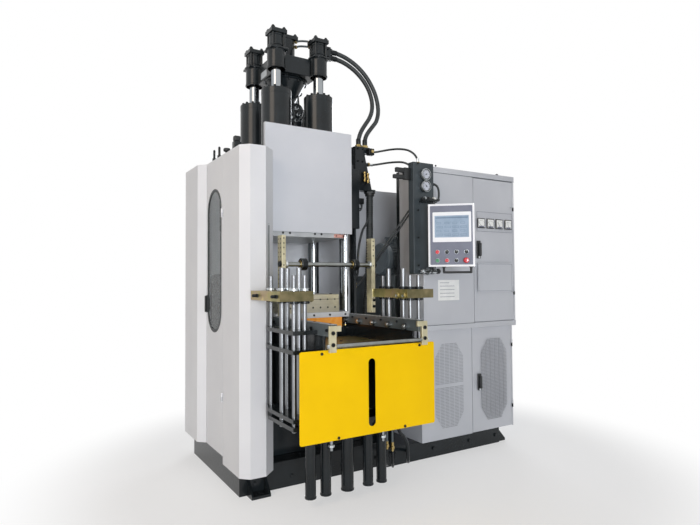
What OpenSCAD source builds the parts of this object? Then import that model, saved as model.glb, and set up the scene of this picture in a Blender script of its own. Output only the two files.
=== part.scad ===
// Vertical rubber injection press with a front mould lifter, an operator panel and a power cabinet.
// Millimetres, +X to the operator's right, +Y to the back, +Z up.
// The origin lies on the floor under the middle of the outline, and the sizes below start
// at the axis of the press where they say so.

/* [Base] */
// Height of the press base
press_base_h = 180; // [150:5:200]
// Press axis to the left face of the press base
press_base_left = 572; // [540:1:600]
// Press axis to the joint between press base and power base
press_base_right = 550; // [500:1:600]
// Press axis to the front face of the press base
press_base_front = 470; // [440:1:480]
// Press axis to the back face of both bases
base_back = 590; // [560:1:640]
// Height of the power base
power_base_h = 140; // [100:5:170]
// Press axis to the front face of the power base
power_base_front = 520; // [480:1:540]
// Press axis to the right face of the power base
power_base_right = 1730; // [1650:5:1740]
// Reach of a floor foot beyond the base
foot_reach = 90; // [70:5:110]
// Width of a floor foot
foot_w = 130; // [100:5:160]
// Thickness of the foot plate
foot_t = 18; // [12:1:25]
// Diameter of an anchor hole
anchor_d = 22; // [18:1:28]

/* [Press] */
// Width of the press bed and of the head
bed_w = 880; // [860:5:890]
// Depth of the press bed and of the head
bed_d = 690; // [680:5:700]
// Height of the press bed over its base
bed_h = 440; // [400:5:500]
// Diameter of a tie bar
tie_bar_d = 90; // [70:1:95]
// Press axis to a tie bar along X
tie_bar_x = 355; // [352:1:360]
// Press axis to a tie bar along Y
tie_bar_y = 265; // [240:1:275]
// Outer diameter of the clamp cylinder
clamp_cylinder_d = 420; // [360:5:460]
// Height of the clamp cylinder over the bed
clamp_cylinder_h = 160; // [120:5:200]
// Diameter of the clamp ram
clamp_ram_d = 280; // [220:5:300]
// Height of the moving platen's underside over the floor
platen_z = 960; // [900:5:1000]
// Width of the moving platen
platen_w = 830; // [820:2:850]
// Depth of the moving platen
platen_d = 670; // [660:2:676]
// Thickness of the moving platen
platen_t = 90; // [60:2:100]
// Thickness of the insulating board
insulation_t = 77; // [40:1:90]
// Width of the insulating board
insulation_w = 464; // [420:2:540]
// Thickness of the table plate
table_t = 38; // [25:1:50]
// Width of the table plate
table_w = 592; // [560:2:600]
// Press axis to the front of the table plate
table_front = 420; // [380:1:425]
// Thickness of the lower heating plate
hot_plate_t = 60; // [40:1:80]
// Thickness of the lower mould plate
mould_plate_t = 68; // [40:1:80]
// Width of the heating plate and of the mould plate
mould_plate_w = 428; // [380:2:500]
// Free height between the mould plate and the upper platen
daylight = 415; // [360:1:480]
// Thickness of the upper platen
upper_platen_t = 82; // [70:1:110]
// Height of the head
head_h = 460; // [420:5:500]
// Width of the front cover on the head
head_cover_w = 702; // [660:2:740]
// Height of the front cover on the head
head_cover_h = 760; // [700:5:780]
// Press axis to the front of the head cover
head_cover_front = 375; // [365:1:390]

/* [Injection unit] */
// Press axis to the centre of the injection unit along Y
unit_y = 50; // [20:1:60]
// Half the spacing of the lift cylinders along X
lift_x = 177; // [165:1:190]
// Half the spacing of the lift cylinders along Y
lift_y = 220; // [200:1:235]
// Diameter of a lift cylinder
lift_cylinder_d = 224; // [190:2:236]
// Height of a lift cylinder over the head
lift_cylinder_h = 560; // [500:5:600]
// Diameter of a lift rod
lift_rod_d = 78; // [50:1:90]
// Bare length of a lift rod as the unit rests
lift_rod_bare = 160; // [130:2:200]
// Diameter of a sleeve in the yoke
sleeve_d = 136; // [120:1:150]
// Height of a sleeve
sleeve_h = 138; // [136:2:200]
// Diameter of an upper cylinder
upper_cylinder_d = 104; // [90:1:105]
// Height of an upper cylinder
upper_cylinder_h = 112; // [104:2:160]
// Side of a square cylinder cap
cap_w = 124; // [124:1:140]
// Thickness of a cylinder cap
cap_t = 28; // [18:1:36]
// Thickness of the yoke
yoke_t = 135; // [100:1:150]
// Diameter of the barrel
barrel_d = 112; // [90:1:120]
// Diameter of the central injection cylinder
core_cylinder_d = 146; // [120:1:160]
// Height of the central injection cylinder over the yoke
core_cylinder_h = 198; // [160:2:220]

/* [Side cover] */
// Thickness of the folded cover sheet
cover_t = 4; // [3:0.5:5]
// Press axis to the left side of the cover
cover_left = 590; // [580:1:620]
// Press axis to the front of the cover
cover_front = 570; // [560:1:590]
// Press axis to the bulged left side of the rear column
cover_bulge = 645; // [630:1:680]
// Press axis to the inner edge of the front column
cover_inner = 343; // [335:1:350]
// Bottom of the front column over the floor
front_column_z = 138; // [110:1:145]
// Bottom of the door and of the rear column over the floor
door_z = 190; // [186:1:220]
// Top of the side cover over the floor
cover_top_z = 2280; // [2260:5:2300]
// Press axis to the front edge of the door
door_front = 184; // [170:1:200]
// Press axis to the back edge of the door
door_back = 186; // [170:1:200]
// Gap around a door
door_gap = 5; // [4:0.5:8]
// Width of the door window
window_w = 300; // [200:2:310]
// Height of the door window
window_h = 1020; // [700:5:1100]
// Bottom of the door window over the floor
window_z = 1034; // [900:2:1080]

/* [Front lifter] */
// Width of the yellow front panel
front_panel_w = 956; // [900:2:1000]
// Height of the yellow front panel
front_panel_h = 515; // [480:1:520]
// Bottom of the yellow front panel over the floor
front_panel_z = 485; // [450:1:500]
// Press axis to the front of the yellow front panel
front_panel_y = 1162; // [1140:1:1180]
// Thickness of the yellow front panel
front_panel_t = 4; // [3:0.5:6]
// Width of the slot in the yellow front panel
slot_w = 50; // [30:1:60]
// Height of the slot in the yellow front panel
slot_h = 400; // [300:2:440]
// Half the width over the guide plates
guide_plate_half = 480; // [475:1:500]
// Thickness of a guide plate
guide_plate_t = 24; // [16:1:28]
// Underside of the lifting arms over the floor
arm_z = 1277; // [1260:1:1300]
// Thickness of a lifting arm
arm_t = 57; // [45:1:65]
// Press axis to the outer side of a lifting arm
arm_outer = 555; // [530:1:570]
// Press axis to the inner side of a lifting arm
arm_inner = 340; // [336:1:345]
// Press axis to the front of a lifting arm
arm_front = 1070; // [1040:1:1100]
// Press axis to the back of a lifting arm
arm_back = 632; // [622:1:632]
// Diameter of a lifter rod
lifter_rod_d = 26; // [20:1:30]
// Diameter of a tall lifter rod
tall_rod_d = 32; // [26:1:36]
// Press axis to the inner side of a hanger bar
hanger_inner = 332; // [331:0.5:336]
// Width of a hanger bar
hanger_w = 28; // [20:1:30]
// Depth of a hanger bar
hanger_d = 67; // [50:1:70]
// Top of a hanger bar over the floor
hanger_top_z = 1690; // [1600:5:1730]
// Diameter of the cross bar
cross_bar_d = 31; // [18:1:34]
// Width of a slide rail
rail_w = 40; // [30:1:44]
// Height of a slide rail
rail_h = 70; // [60:1:80]
// Press axis to the outer side of a slide rail
rail_outer = 325; // [320:0.5:326]
// Outer diameter of an ejector tube
tube_d = 67; // [50:1:75]
// Bottom of the ejector tubes over the floor
tube_z = 65; // [40:1:90]

/* [Power cabinet] */
// Press axis to the left side of the cabinet
cabinet_left = 851; // [845:1:900]
// Press axis to the right side of the cabinet
cabinet_right = 1856; // [1800:2:1900]
// Press axis to the front of the upper cabinet
cabinet_front = 607; // [600:1:640]
// Set-back of the lower cabinet's front
cabinet_step = 37; // [20:1:50]
// Height of the lower cabinet
lower_cabinet_h = 860; // [800:5:900]
// Height of the upper cabinet
upper_cabinet_h = 1278; // [1200:2:1300]
// Depth of the upper cabinet
upper_cabinet_d = 303; // [260:1:340]
// Depth of the lower cabinet
lower_cabinet_d = 370; // [340:1:380]
// Press axis to the seam between the cabinet bays
bay_seam = 1376; // [1300:2:1450]
// Thickness of a cabinet door
cabinet_door_t = 15; // [12:0.5:18]

/* [Operator panel] */
// Width of the gauge column
column_w = 191; // [160:1:195]
// Depth of the gauge column
column_d = 60; // [50:1:70]
// Height of the gauge column
column_h = 823; // [780:1:860]
// Press axis to the front of the gauge column
column_front = 750; // [740:1:760]
// Diameter of a pressure gauge
gauge_d = 84; // [60:1:86]
// Width of the operator box
panel_box_w = 326; // [300:1:340]
// Height of the operator box
panel_box_h = 450; // [420:1:470]
// Thickness of the operator box
panel_box_t = 66; // [50:1:70]
// Turn of the operator box towards the left
panel_turn = 42; // [20:1:60]

/* [Hidden] */
$fn = 64;
overrun = 1;

// Outline of the whole machine about the press axis
rail_bracket_t = 24;
rail_overhang = 108;
rail_front_reach = front_panel_y + rail_overhang;
part_left = -cover_bulge;
part_right = cabinet_right;
part_front = -rail_front_reach;
part_back = base_back + foot_reach;
shift = [-(part_left + part_right) / 2, -(part_front + part_back) / 2, 0];

// Heights of the press, stacked from the floor
bed_top_z = press_base_h + bed_h;
cylinder_top_z = bed_top_z + clamp_cylinder_h;
board_z = platen_z + platen_t;
table_z = board_z + insulation_t;
hot_plate_z = table_z + table_t;
mould_plate_z = hot_plate_z + hot_plate_t;
mould_top_z = mould_plate_z + mould_plate_t;
upper_platen_z = mould_top_z + daylight;
head_z = upper_platen_z + upper_platen_t;
head_top_z = head_z + head_h;
head_cover_drop = 48;
head_cover_z = head_z - head_cover_drop;

// Small sizes of the base and the feet
foot_gusset_h = 100;
foot_gusset_t = 14;
foot_corner_in = 20;
press_foot_in = 51;
anchor_edge = 45;

// Small sizes of the press
bore_play = 1;
ram_foot = 25;
cylinder_flange_d = 490;
cylinder_flange_h = 40;
hot_plate_setback = 12;
mould_plate_setback = 14;
plate_back = 300;
platen_front_lip = 18;
mould_bolt_x = 300;
mould_bolt_y = 400;
mould_bolt_d = 17;
mould_bolt_depth = 40;

// Small sizes of the injection unit
lift_rod_in = 410;
lift_bore_floor = 20;
cylinder_collar_d = 160;
cylinder_collar_h = 12;
cap_bolt_d = 18;
cap_bolt_h = 20;
cap_bolt_inset = 18;
barrel_neck_d = 330;
barrel_neck_h = 190;
barrel_in = 250;
core_cap_extra = 26;
port_w = 56;
port_h = 100;
port_reach = 98.5;
lift_top_z = head_top_z + lift_cylinder_h;
sleeve_z = lift_top_z + lift_rod_bare;
sleeve_top_z = sleeve_z + sleeve_h;
yoke_z = sleeve_z;
yoke_top_z = yoke_z + yoke_t;
upper_cylinder_z = sleeve_top_z + cylinder_collar_h;
port_z = upper_cylinder_z + upper_cylinder_h / 2;

// Small sizes of the side cover
cover_chamfer = 55;
inner_chamfer = 85;
cover_flange_gap = 10;
bracket_bar = 40;
upper_bracket_drop = 100;
lower_bracket_rise = 140;
front_bracket_y = 300;
rear_bracket_y = 330;
hinge_d = 14;
hinge_h = 60;
hinge_play = 0.3;
hinge_rise_shares = [0.18, 0.79];
gasket_w = 12;
gasket_lip = 8;
gasket_lip_t = 3;
glass_t = 5;
door_return = 24;
handle_w = 20;
handle_h = 130;
handle_reach = 34;
handle_rise = 970;
handle_inset = 3;
rear_return = 205;
panel_t = 4;
cover_hinge_x = -cover_left - hinge_d / 2;
cover_hinge_y = -door_front - door_gap / 2;
cover_door_zs = [door_z, cover_top_z];
front_facets = [
    [-cover_left, -door_front - door_gap],
    [-cover_left, -cover_front + cover_chamfer],
    [-cover_left + cover_chamfer, -cover_front],
    [-cover_inner - inner_chamfer, -cover_front],
    [-cover_inner, -cover_front + inner_chamfer]
];
front_flange = [-cover_inner, -head_cover_front - cover_flange_gap];

// Small sizes of the front lifter
side_plate_t = 14;
side_plate_z = 500;
rail_z = 1080;
rail_back = 432;
rail_tail_back = 345;
rail_tail_gap = 5;
roller_d = 40;
roller_w = 14;
roller_rise = 22;
roller_count = 5;
roller_front_inset = 150;
roller_back_inset = 47;
roller_first = rail_front_reach - roller_front_inset;
roller_pitch = (roller_first - rail_tail_back - roller_back_inset) / (roller_count - 1);
bracket_inner = 300;
bracket_outer = 344;
bracket_lip_inner = 268;
bracket_lip_h = 32;
bracket_z = 998;
bracket_top_z = 1144;
roller_bar_d = 22;
roller_bar_rise = 34;
guide_zs = [1085, 976, 590, 545];
guide_front = 1085;
guide_back = 632;
guide_cut_w = 34;
guide_cut_d = 90;
rod_play = 1;
rod_bottom_z = 530;
rod_top_z = 1426;
tall_rod_top_z = 1473;
rod_front_y = 1040;
rod_rear_y = 660;
rod_inner_x = 384;
rod_middle_x = 432;
rod_outer_x = 453;
tall_rod_front_y = 965;
tall_rod_mid_y = 875;
tall_rod_rear_y = 800;
collar_d = 56;
collar_h = 16;
collar_play = 0.3;
hanger_z = 1165;
hanger_front = 670;
cross_bar_z = 1502;
cross_bar_in = 18;
bar_block_x = 200;
bar_block_d = 78;
bar_block_w = 40;
notch_pitch = 20;
notch_h = 8;
notch_depth = 6;
notch_count = 10;
notch_drop = 20;
tube_y = 870;
tube_xs = [-263, -157, 0, 157, 263];
middle_tube_d = 80;
tube_plate_t = 24;
tube_plate_d = 170;
slot_rise = 45;

// Small sizes of the valve manifold and the post beside it
manifold_top = 82;
manifold_foot = 150;
gland_lip = 186;
gland_lip_t = 14;
port_block = 135;
port_block_h = 46;
manifold_drop = 150;
manifold_rise = 196;
manifold_y = 290;
manifold_t = 70;
manifold_port_d = 26;
manifold_port_reaches = [150, 138.5];
manifold_port_drops = [23, 127];
post_w = 19;
post_d = 55;

// Small sizes of the power cabinet
cabinet_wall = 4;
cabinet_lip_top = 45;
cabinet_lip_bottom = 44;
hinge_strip = 17;
seam_w = 5;
cabinet_post_w = 40;
tank_gap = 10;
tank_left = 880;
tank_right = 1800;
tank_back = 540;
tank_h = 1290;
motor_d = 260;
motor_l = 560;
motor_inset = 60;
motor_rise = 150;
motor_foot_w = 180;
motor_y = 130;
cabinet_back = -cabinet_front + upper_cabinet_d;
lower_front = -cabinet_front + cabinet_step;
lower_back = lower_front + lower_cabinet_d;
lower_cabinet_top_z = power_base_h + lower_cabinet_h;
cabinet_top_z = lower_cabinet_top_z + upper_cabinet_h;
cabinet_hinge_x = cabinet_right - hinge_strip - seam_w / 2;
bay_door = [bay_seam + seam_w, cabinet_hinge_x - seam_w / 2];
bay_inside = [bay_seam + hinge_strip, cabinet_hinge_x - hinge_strip];
cabinet_hinge_y = -cabinet_front - hinge_d / 2;
louvre_hinge_y = lower_front - hinge_d / 2;
cabinet_door_zs = [
    lower_cabinet_top_z + cabinet_lip_bottom + seam_w,
    cabinet_top_z - cabinet_lip_top - seam_w
];
louvre_door_zs = [power_base_h + seam_w, lower_cabinet_top_z - seam_w];

// Small sizes of the operator panel
column_gap = 12.5;
column_z = 1436;
column_right = cabinet_left - column_gap;
column_left = column_right - column_w;
gauge_t = 30;
gauge_x = 98;
gauge_drop = 90;
gauge_pitch = 88;
stay_w = 90;
stay_h = 60;
stay_lap = 60;
stay_rises = [130, 560];
pivot_x = 758;
pivot_front = 91;
pivot_d = 22;
pivot_gap = 25;
pivot_inset = 38;
pivot_plate_t = 12;
pivot_plate_w = 80;
pivot_plate_lap = 22;
panel_box_rise = 51;
grip_d = 12;
grip_h = 40;
grip_from = 70;
grip_to = 262;
pivot_y = -column_front - pivot_front;
panel_box_z = column_z + panel_box_rise;

// Hoses: their routes in the part's frame, and their diameters
hose_d = 34;
gauge_hose_d = 16;
conduit_d = 58;
hose_sides = 10;
along_y = [0, 1, 0];
along_z = [0, 0, 1];
aslant = [1, 0, 0.5];
pressure_front_route = [
    [-330, 125, 3200], [-270, 125, 3200], [-197.5, 123, 3187], [-125.5, 119, 3159], [-59.5, 113, 3118],
    [-1.5, 106, 3064], [45.5, 98, 2998], [79.5, 89, 2924], [97.5, 80, 2844], [96.5, 70, 2764],
    [72.5, 61, 2690], [26.5, 52, 2634], [-17.5, 46, 2582], [-45.5, 42, 2536], [-55.5, 40, 2490],
    [-55.5, 40, 2446]
];
pressure_back_route = [
    [-330, 125, 3152], [-270, 125, 3152], [-203.5, 123, 3140], [-139.5, 119, 3114], [-80.5, 113, 3076],
    [-28.5, 106, 3026], [12.5, 98, 2966], [37.5, 89, 2898], [44.5, 79, 2826], [30.5, 69, 2756],
    [-2.5, 59, 2694], [-45.5, 51, 2638], [-84.5, 45, 2582], [-107.5, 41, 2530], [-115.5, 40, 2488],
    [-115.5, 40, 2446]
];
gauge_upper_route = [
    [-15.5, 40, 2423], [16.5, 40, 2423], [54.5, 29, 2429], [91.5, 3, 2436], [121.5, -35, 2440],
    [143.5, -83, 2438], [155.5, -135, 2430], [159.5, -187, 2417], [156.5, -239, 2400],
    [149.5, -289, 2378], [140.5, -335, 2352], [131.5, -373, 2324], [124.5, -399, 2298],
    [121, -410, 2276], [121, -410, 2259]
];
gauge_lower_route = [
    [-27, 40, 2319], [4.5, 40, 2319], [42.5, 29, 2324], [78.5, 3, 2330], [106.5, -33, 2333],
    [125.5, -79, 2331], [135.5, -129, 2325], [136.5, -181, 2315], [131.5, -233, 2300],
    [122.5, -283, 2280], [112.5, -329, 2256], [104.5, -367, 2236], [103.5, -381, 2232],
    [103.5, -395, 2232]
];
conduit_route = [
    [-13, 40, 2100], [-13, 40, 2020], [-15, 40, 1900], [-16, 39, 1780], [-21, 37, 1640],
    [-31, 35, 1490], [-43, 34, 1330], [-57, 34, 1170], [-69, 34, 1000], [-81, 34, 820], [-91, 34, 640],
    [-97, 34, 460], [-97, 34, 300], [-97, 34, 180]
];

// A box between two corners, and an upright rod between two heights
module slab(x, y, z) {
    translate([x[0], y[0], z[0]]) cube([x[1] - x[0], y[1] - y[0], z[1] - z[0]]);
}

module upright(x, y, z, d) {
    translate([x, y, z[0]]) cylinder(h = z[1] - z[0], d = d);
}

// The same solid on the left and the right of the press axis
module both_sides() {
    children();
    mirror([1, 0, 0]) children();
}

module placed() {
    translate(shift) children();
}

// Sheet folded along an open line of points, with its thickness to the left of the line
function unit(v) = v / norm(v);
function left_of(v) = [-v[1], v[0]];
function side_normal(p, i) = left_of(unit(p[i + 1] - p[i]));
function mitred(p, i, t) =
    let (last = len(p) - 1)
    let (before = side_normal(p, i == 0 ? 0 : i - 1))
    let (after = side_normal(p, i == last ? last - 1 : i))
    p[i] + t * (before + after) / (1 + before * after);

module folded_sheet(p, t, z) {
    inner = [for (i = [len(p) - 1:-1:0]) mitred(p, i, t)];
    translate([0, 0, z[0]]) linear_extrude(z[1] - z[0]) polygon(concat(p, inner));
}

// Tube swept along a route, with a ring of sides at each point
function route_direction(p, i) = unit(p[min(i + 1, len(p) - 1)] - p[max(i - 1, 0)]);
function ring(centre, direction, across, r) =
    let (u = unit(cross(direction, across)))
    let (v = cross(direction, u))
    [for (k = [0:hose_sides - 1]) let (turn = k / hose_sides * 360)
        centre + r * (u * cos(turn) + v * sin(turn))];

module tube_along(p, d, across) {
    n = hose_sides;
    rings = [for (i = [0:len(p) - 1]) ring(p[i], route_direction(p, i), across, d / 2)];
    sides = [for (i = [0:len(p) - 2]) for (k = [0:n - 1])
        [i * n + k, (i + 1) * n + k, (i + 1) * n + (k + 1) % n, i * n + (k + 1) % n]];
    first = [for (k = [0:n - 1]) k];
    last = [for (k = [n - 1:-1:0]) (len(p) - 1) * n + k];
    polyhedron(points = [for (r = rings) for (q = r) q], faces = concat(sides, [first, last]));
}

// Flat outline with two round ends, standing in the X = 0 plane
module upright_slot(w, h, x) {
    translate([x[0], 0, 0]) rotate([90, 0, 90]) linear_extrude(x[1] - x[0]) union() {
        translate([-w / 2, w / 2]) square([w, h - w]);
        translate([0, w / 2]) circle(d = w);
        translate([0, h - w / 2]) circle(d = w);
    }
}

module press_base() color("#22282a") {
    slab([-press_base_left, press_base_right], [-press_base_front, base_back], [0, press_base_h]);
}

module power_base() color("#22282a") {
    slab([press_base_right, power_base_right], [-power_base_front, base_back], [0, power_base_h]);
}

// One foot at the origin, reaching along -Y from the base
module foot() {
    difference() {
        slab([-foot_w / 2, foot_w / 2], [-foot_reach, 0], [0, foot_t]);
        upright(0, -anchor_edge, [-overrun, foot_t + overrun], anchor_d);
    }
    for (side = [-foot_w / 2, foot_w / 2 - foot_gusset_t])
        translate([side, 0, foot_t]) rotate([90, 0, 90]) linear_extrude(foot_gusset_t)
            polygon([[0, 0], [-foot_reach, 0], [0, foot_gusset_h]]);
}

module floor_feet() color("#22282a") {
    left = -press_base_left + foot_w / 2 + press_foot_in;
    front = -power_base_front + foot_w / 2 + foot_corner_in;
    back = base_back - foot_w / 2 - foot_corner_in;
    translate([left, -press_base_front, 0]) foot();
    translate([left, base_back, 0]) rotate(180) foot();
    translate([power_base_right, front, 0]) rotate(90) foot();
    translate([power_base_right, back, 0]) rotate(90) foot();
}

module press_bed() color("#2b3234") {
    difference() {
        slab([-bed_w / 2, bed_w / 2], [-bed_d / 2, bed_d / 2], [press_base_h, bed_top_z]);
        upright(0, 0, [press_base_h - overrun, bed_top_z + overrun], clamp_cylinder_d);
    }
}

module clamp_cylinder() color("#2b3234") {
    difference() {
        union() {
            upright(0, 0, [press_base_h, cylinder_top_z], clamp_cylinder_d);
            upright(0, 0, [cylinder_top_z - cylinder_flange_h, cylinder_top_z], cylinder_flange_d);
        }
        upright(0, 0, [press_base_h + ram_foot - overrun, cylinder_top_z + overrun],
            clamp_ram_d + 2 * bore_play);
    }
}

module clamp_ram() color("#d6d9db") {
    upright(0, 0, [press_base_h + ram_foot, platen_z], clamp_ram_d);
}

module at_tie_bars() {
    for (x = [-tie_bar_x, tie_bar_x], y = [-tie_bar_y, tie_bar_y]) translate([x, y, 0]) children();
}

module tie_bars() color("#d6d9db") {
    at_tie_bars() upright(0, 0, [bed_top_z, head_z], tie_bar_d);
}

module moving_platen() color("#2b3234") {
    difference() {
        slab([-platen_w / 2, platen_w / 2], [-platen_d / 2, platen_d / 2], [platen_z, board_z]);
        at_tie_bars() upright(0, 0, [platen_z - overrun, board_z + overrun], tie_bar_d + 2 * bore_play);
    }
}

module insulating_board() color("#f08c1e") {
    slab([-insulation_w / 2, insulation_w / 2], [-table_front, plate_back], [board_z, table_z]);
}

module table_plate() color("#aeb3b8") {
    slab([-table_w / 2, table_w / 2], [-table_front, plate_back], [table_z, hot_plate_z]);
}

module heating_plate() color("#b9ad7e") {
    slab([-mould_plate_w / 2, mould_plate_w / 2], [-table_front + hot_plate_setback, plate_back],
        [hot_plate_z, mould_plate_z]);
}

module at_mould_bolts() {
    for (x = [-mould_bolt_x / 2, mould_bolt_x / 2], y = [-mould_bolt_y / 2, mould_bolt_y / 2])
        translate([x, y, 0]) children();
}

module mould_plate() color("#b9ad7e") {
    difference() {
        slab([-mould_plate_w / 2, mould_plate_w / 2], [-table_front + mould_plate_setback, plate_back],
            [mould_plate_z, mould_top_z]);
        at_mould_bolts() upright(0, 0, [mould_top_z - mould_bolt_depth, mould_top_z + overrun], mould_bolt_d);
    }
}

module upper_platen() color("#9da2a6") {
    slab([-table_w / 2, table_w / 2], [-bed_d / 2 - platen_front_lip, plate_back], [upper_platen_z, head_z]);
}

module press_head() color("#2b3234") {
    difference() {
        slab([-bed_w / 2, bed_w / 2], [-bed_d / 2, bed_d / 2], [head_z, head_top_z]);
        upright(0, unit_y, [head_z - overrun, head_top_z + overrun], barrel_d + 2 * door_gap);
    }
}

module head_cover() color("#d3d6da") {
    half = head_cover_w / 2;
    folded_sheet([
        [half, -bed_d / 2],
        [half, -head_cover_front],
        [-half, -head_cover_front],
        [-half, -bed_d / 2]
    ], -cover_t, [head_cover_z, head_cover_z + head_cover_h]);
}

module at_lift_cylinders() {
    for (x = [-lift_x, lift_x], y = [unit_y - lift_y, unit_y + lift_y]) translate([x, y, 0]) children();
}

module lift_cylinders() color("#2b3234") {
    at_lift_cylinders() difference() {
        upright(0, 0, [head_top_z, lift_top_z], lift_cylinder_d);
        upright(0, 0, [head_top_z + lift_bore_floor, lift_top_z + overrun], lift_rod_d + 2 * bore_play);
    }
}

module lift_rods() color("#d6d9db") {
    at_lift_cylinders() upright(0, 0, [lift_top_z - lift_rod_in, sleeve_z], lift_rod_d);
}

module yoke_sleeves() color("#2b3234") {
    at_lift_cylinders() {
        upright(0, 0, [sleeve_z, sleeve_top_z], sleeve_d);
        upright(0, 0, [sleeve_top_z, upper_cylinder_z], cylinder_collar_d);
    }
}

// Square cylinder cap with a bolt in each corner
module at_cap_bolts(w) {
    reach = w / 2 - cap_bolt_inset;
    for (x = [-reach, reach], y = [-reach, reach]) translate([x, y, 0]) children();
}

module bolted_cap(w, z) {
    slab([-w / 2, w / 2], [-w / 2, w / 2], [z, z + cap_t]);
    at_cap_bolts(w) upright(0, 0, [z + cap_t, z + cap_t + cap_bolt_h], cap_bolt_d);
}

// Tie rods hold each upper cylinder; the front right one carries the port block of the pressure hoses
module upper_cylinders() color("#2b3234") {
    front = unit_y - lift_y;
    at_lift_cylinders() {
        upright(0, 0, [upper_cylinder_z, upper_cylinder_z + upper_cylinder_h], upper_cylinder_d);
        bolted_cap(cap_w, upper_cylinder_z + upper_cylinder_h);
        at_cap_bolts(cap_w) upright(0, 0, [upper_cylinder_z, upper_cylinder_z + upper_cylinder_h], cap_bolt_d);
    }
    slab([lift_x, lift_x + port_reach], [front - port_w / 2, front + port_w / 2],
        [port_z - port_h / 2, port_z + port_h / 2]);
}

module injection_yoke() color("#2b3234") {
    difference() {
        slab([-lift_x, lift_x], [unit_y - lift_y, unit_y + lift_y], [yoke_z, yoke_top_z]);
        at_lift_cylinders() upright(0, 0, [yoke_z - overrun, yoke_top_z + overrun], sleeve_d);
    }
}

module barrel() color("#2b3234") {
    translate([0, unit_y, yoke_z - barrel_neck_h])
        cylinder(h = barrel_neck_h, d1 = barrel_d, d2 = barrel_neck_d);
    upright(0, unit_y, [head_top_z - barrel_in, yoke_z - barrel_neck_h], barrel_d);
}

module core_cylinder() color("#2b3234") {
    upright(0, unit_y, [yoke_top_z, yoke_top_z + core_cylinder_h], core_cylinder_d);
    translate([0, unit_y, 0]) bolted_cap(cap_w + core_cap_extra, yoke_top_z + core_cylinder_h);
}

// Faceted column in front of the door; the flange at its inner edge stops at the base
module front_column() color("#e9eaec") {
    folded_sheet(concat(front_facets, [front_flange]), cover_t, [press_base_h, cover_top_z]);
    folded_sheet(front_facets, cover_t, [front_column_z, press_base_h]);
}

module rear_column() color("#e9e6df") {
    folded_sheet([
        [-cover_bulge + rear_return, base_back],
        [-cover_bulge, base_back],
        [-cover_bulge, door_back + door_gap + cover_bulge - cover_left],
        [-cover_left, door_back + door_gap]
    ], cover_t, [door_z, cover_top_z]);
}

// Bars that hold the two cover columns on the head and on the bed
module cover_brackets() color("#2b3234") {
    upper = [head_top_z - upper_bracket_drop, head_top_z - upper_bracket_drop + bracket_bar];
    lower = [press_base_h + lower_bracket_rise, press_base_h + lower_bracket_rise + bracket_bar];
    for (z = [upper, lower]) {
        slab([-cover_left + cover_t, -bed_w / 2], [-front_bracket_y, -front_bracket_y + bracket_bar], z);
        slab([-cover_bulge + cover_t, -bed_w / 2], [rear_bracket_y - bracket_bar, rear_bracket_y], z);
    }
}

// Upright hinge knuckles, stacked in pairs: the lower one stays and the upper one swings
function hinge_z(z, i, upper) = z[0] + hinge_rise_shares[i] * (z[1] - z[0]) + (upper ? hinge_h / 2 : 0);

module hinge_knuckles(x, y, z, upper) {
    for (i = [0:len(hinge_rise_shares) - 1])
        upright(x, y, [hinge_z(z, i, upper) + hinge_play, hinge_z(z, i, upper) + hinge_h / 2], hinge_d);
}

module cover_hinges() color("#c9cbcd") {
    hinge_knuckles(cover_hinge_x, cover_hinge_y, cover_door_zs, false);
    hinge_knuckles(cabinet_hinge_x, cabinet_hinge_y, cabinet_door_zs, false);
    hinge_knuckles(cabinet_hinge_x, louvre_hinge_y, louvre_door_zs, false);
}

module at_window() {
    translate([-cover_left, (door_back - door_front) / 2, window_z]) children();
}

module cover_door() color("#e9e6df") {
    difference() {
        folded_sheet([
            [-cover_left + door_return, door_back],
            [-cover_left, door_back],
            [-cover_left, -door_front],
            [-cover_left + door_return, -door_front]
        ], cover_t, cover_door_zs);
        at_window() upright_slot(window_w, window_h, [-overrun, cover_t + overrun]);
    }
    hinge_knuckles(cover_hinge_x, cover_hinge_y, cover_door_zs, true);
}

module door_gasket() color("#17191a") {
    at_window() difference() {
        union() {
            upright_slot(window_w, window_h, [-gasket_lip_t, cover_t + gasket_lip_t]);
            for (x = [[-gasket_lip_t, 0], [cover_t, cover_t + gasket_lip_t]])
                translate([0, 0, -gasket_lip])
                    upright_slot(window_w + 2 * gasket_lip, window_h + 2 * gasket_lip, x);
        }
        translate([0, 0, gasket_w])
            upright_slot(window_w - 2 * gasket_w, window_h - 2 * gasket_w,
                [-gasket_lip_t - overrun, cover_t + gasket_lip_t + overrun]);
    }
}

module door_window() color("#9fb4b8") {
    at_window() translate([0, 0, gasket_w])
        upright_slot(window_w - 2 * gasket_w, window_h - 2 * gasket_w, [0, glass_t]);
}

module door_handle() color("#17191a") {
    z = door_z + handle_rise;
    y = door_back - handle_inset;
    slab([-cover_left - handle_reach, -cover_left], [y - handle_w, y], [z, z + handle_h]);
}

module press_back_panel() color("#c4c8cd") {
    slab([-cover_bulge + rear_return, press_base_right], [base_back - panel_t, base_back],
        [press_base_h, cover_top_z]);
}

// Side plates under the rails, and the plate between them that carries the ejector tubes
module front_frame() color("#22282a") {
    both_sides() slab([rail_outer - side_plate_t, rail_outer], [-front_panel_y + front_panel_t, -bed_d / 2],
        [side_plate_z, rail_z]);
    slab([-rail_outer + side_plate_t, rail_outer - side_plate_t],
        [-tube_y - tube_plate_d / 2, -tube_y + tube_plate_d / 2], [side_plate_z, side_plate_z + tube_plate_t]);
}

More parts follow.
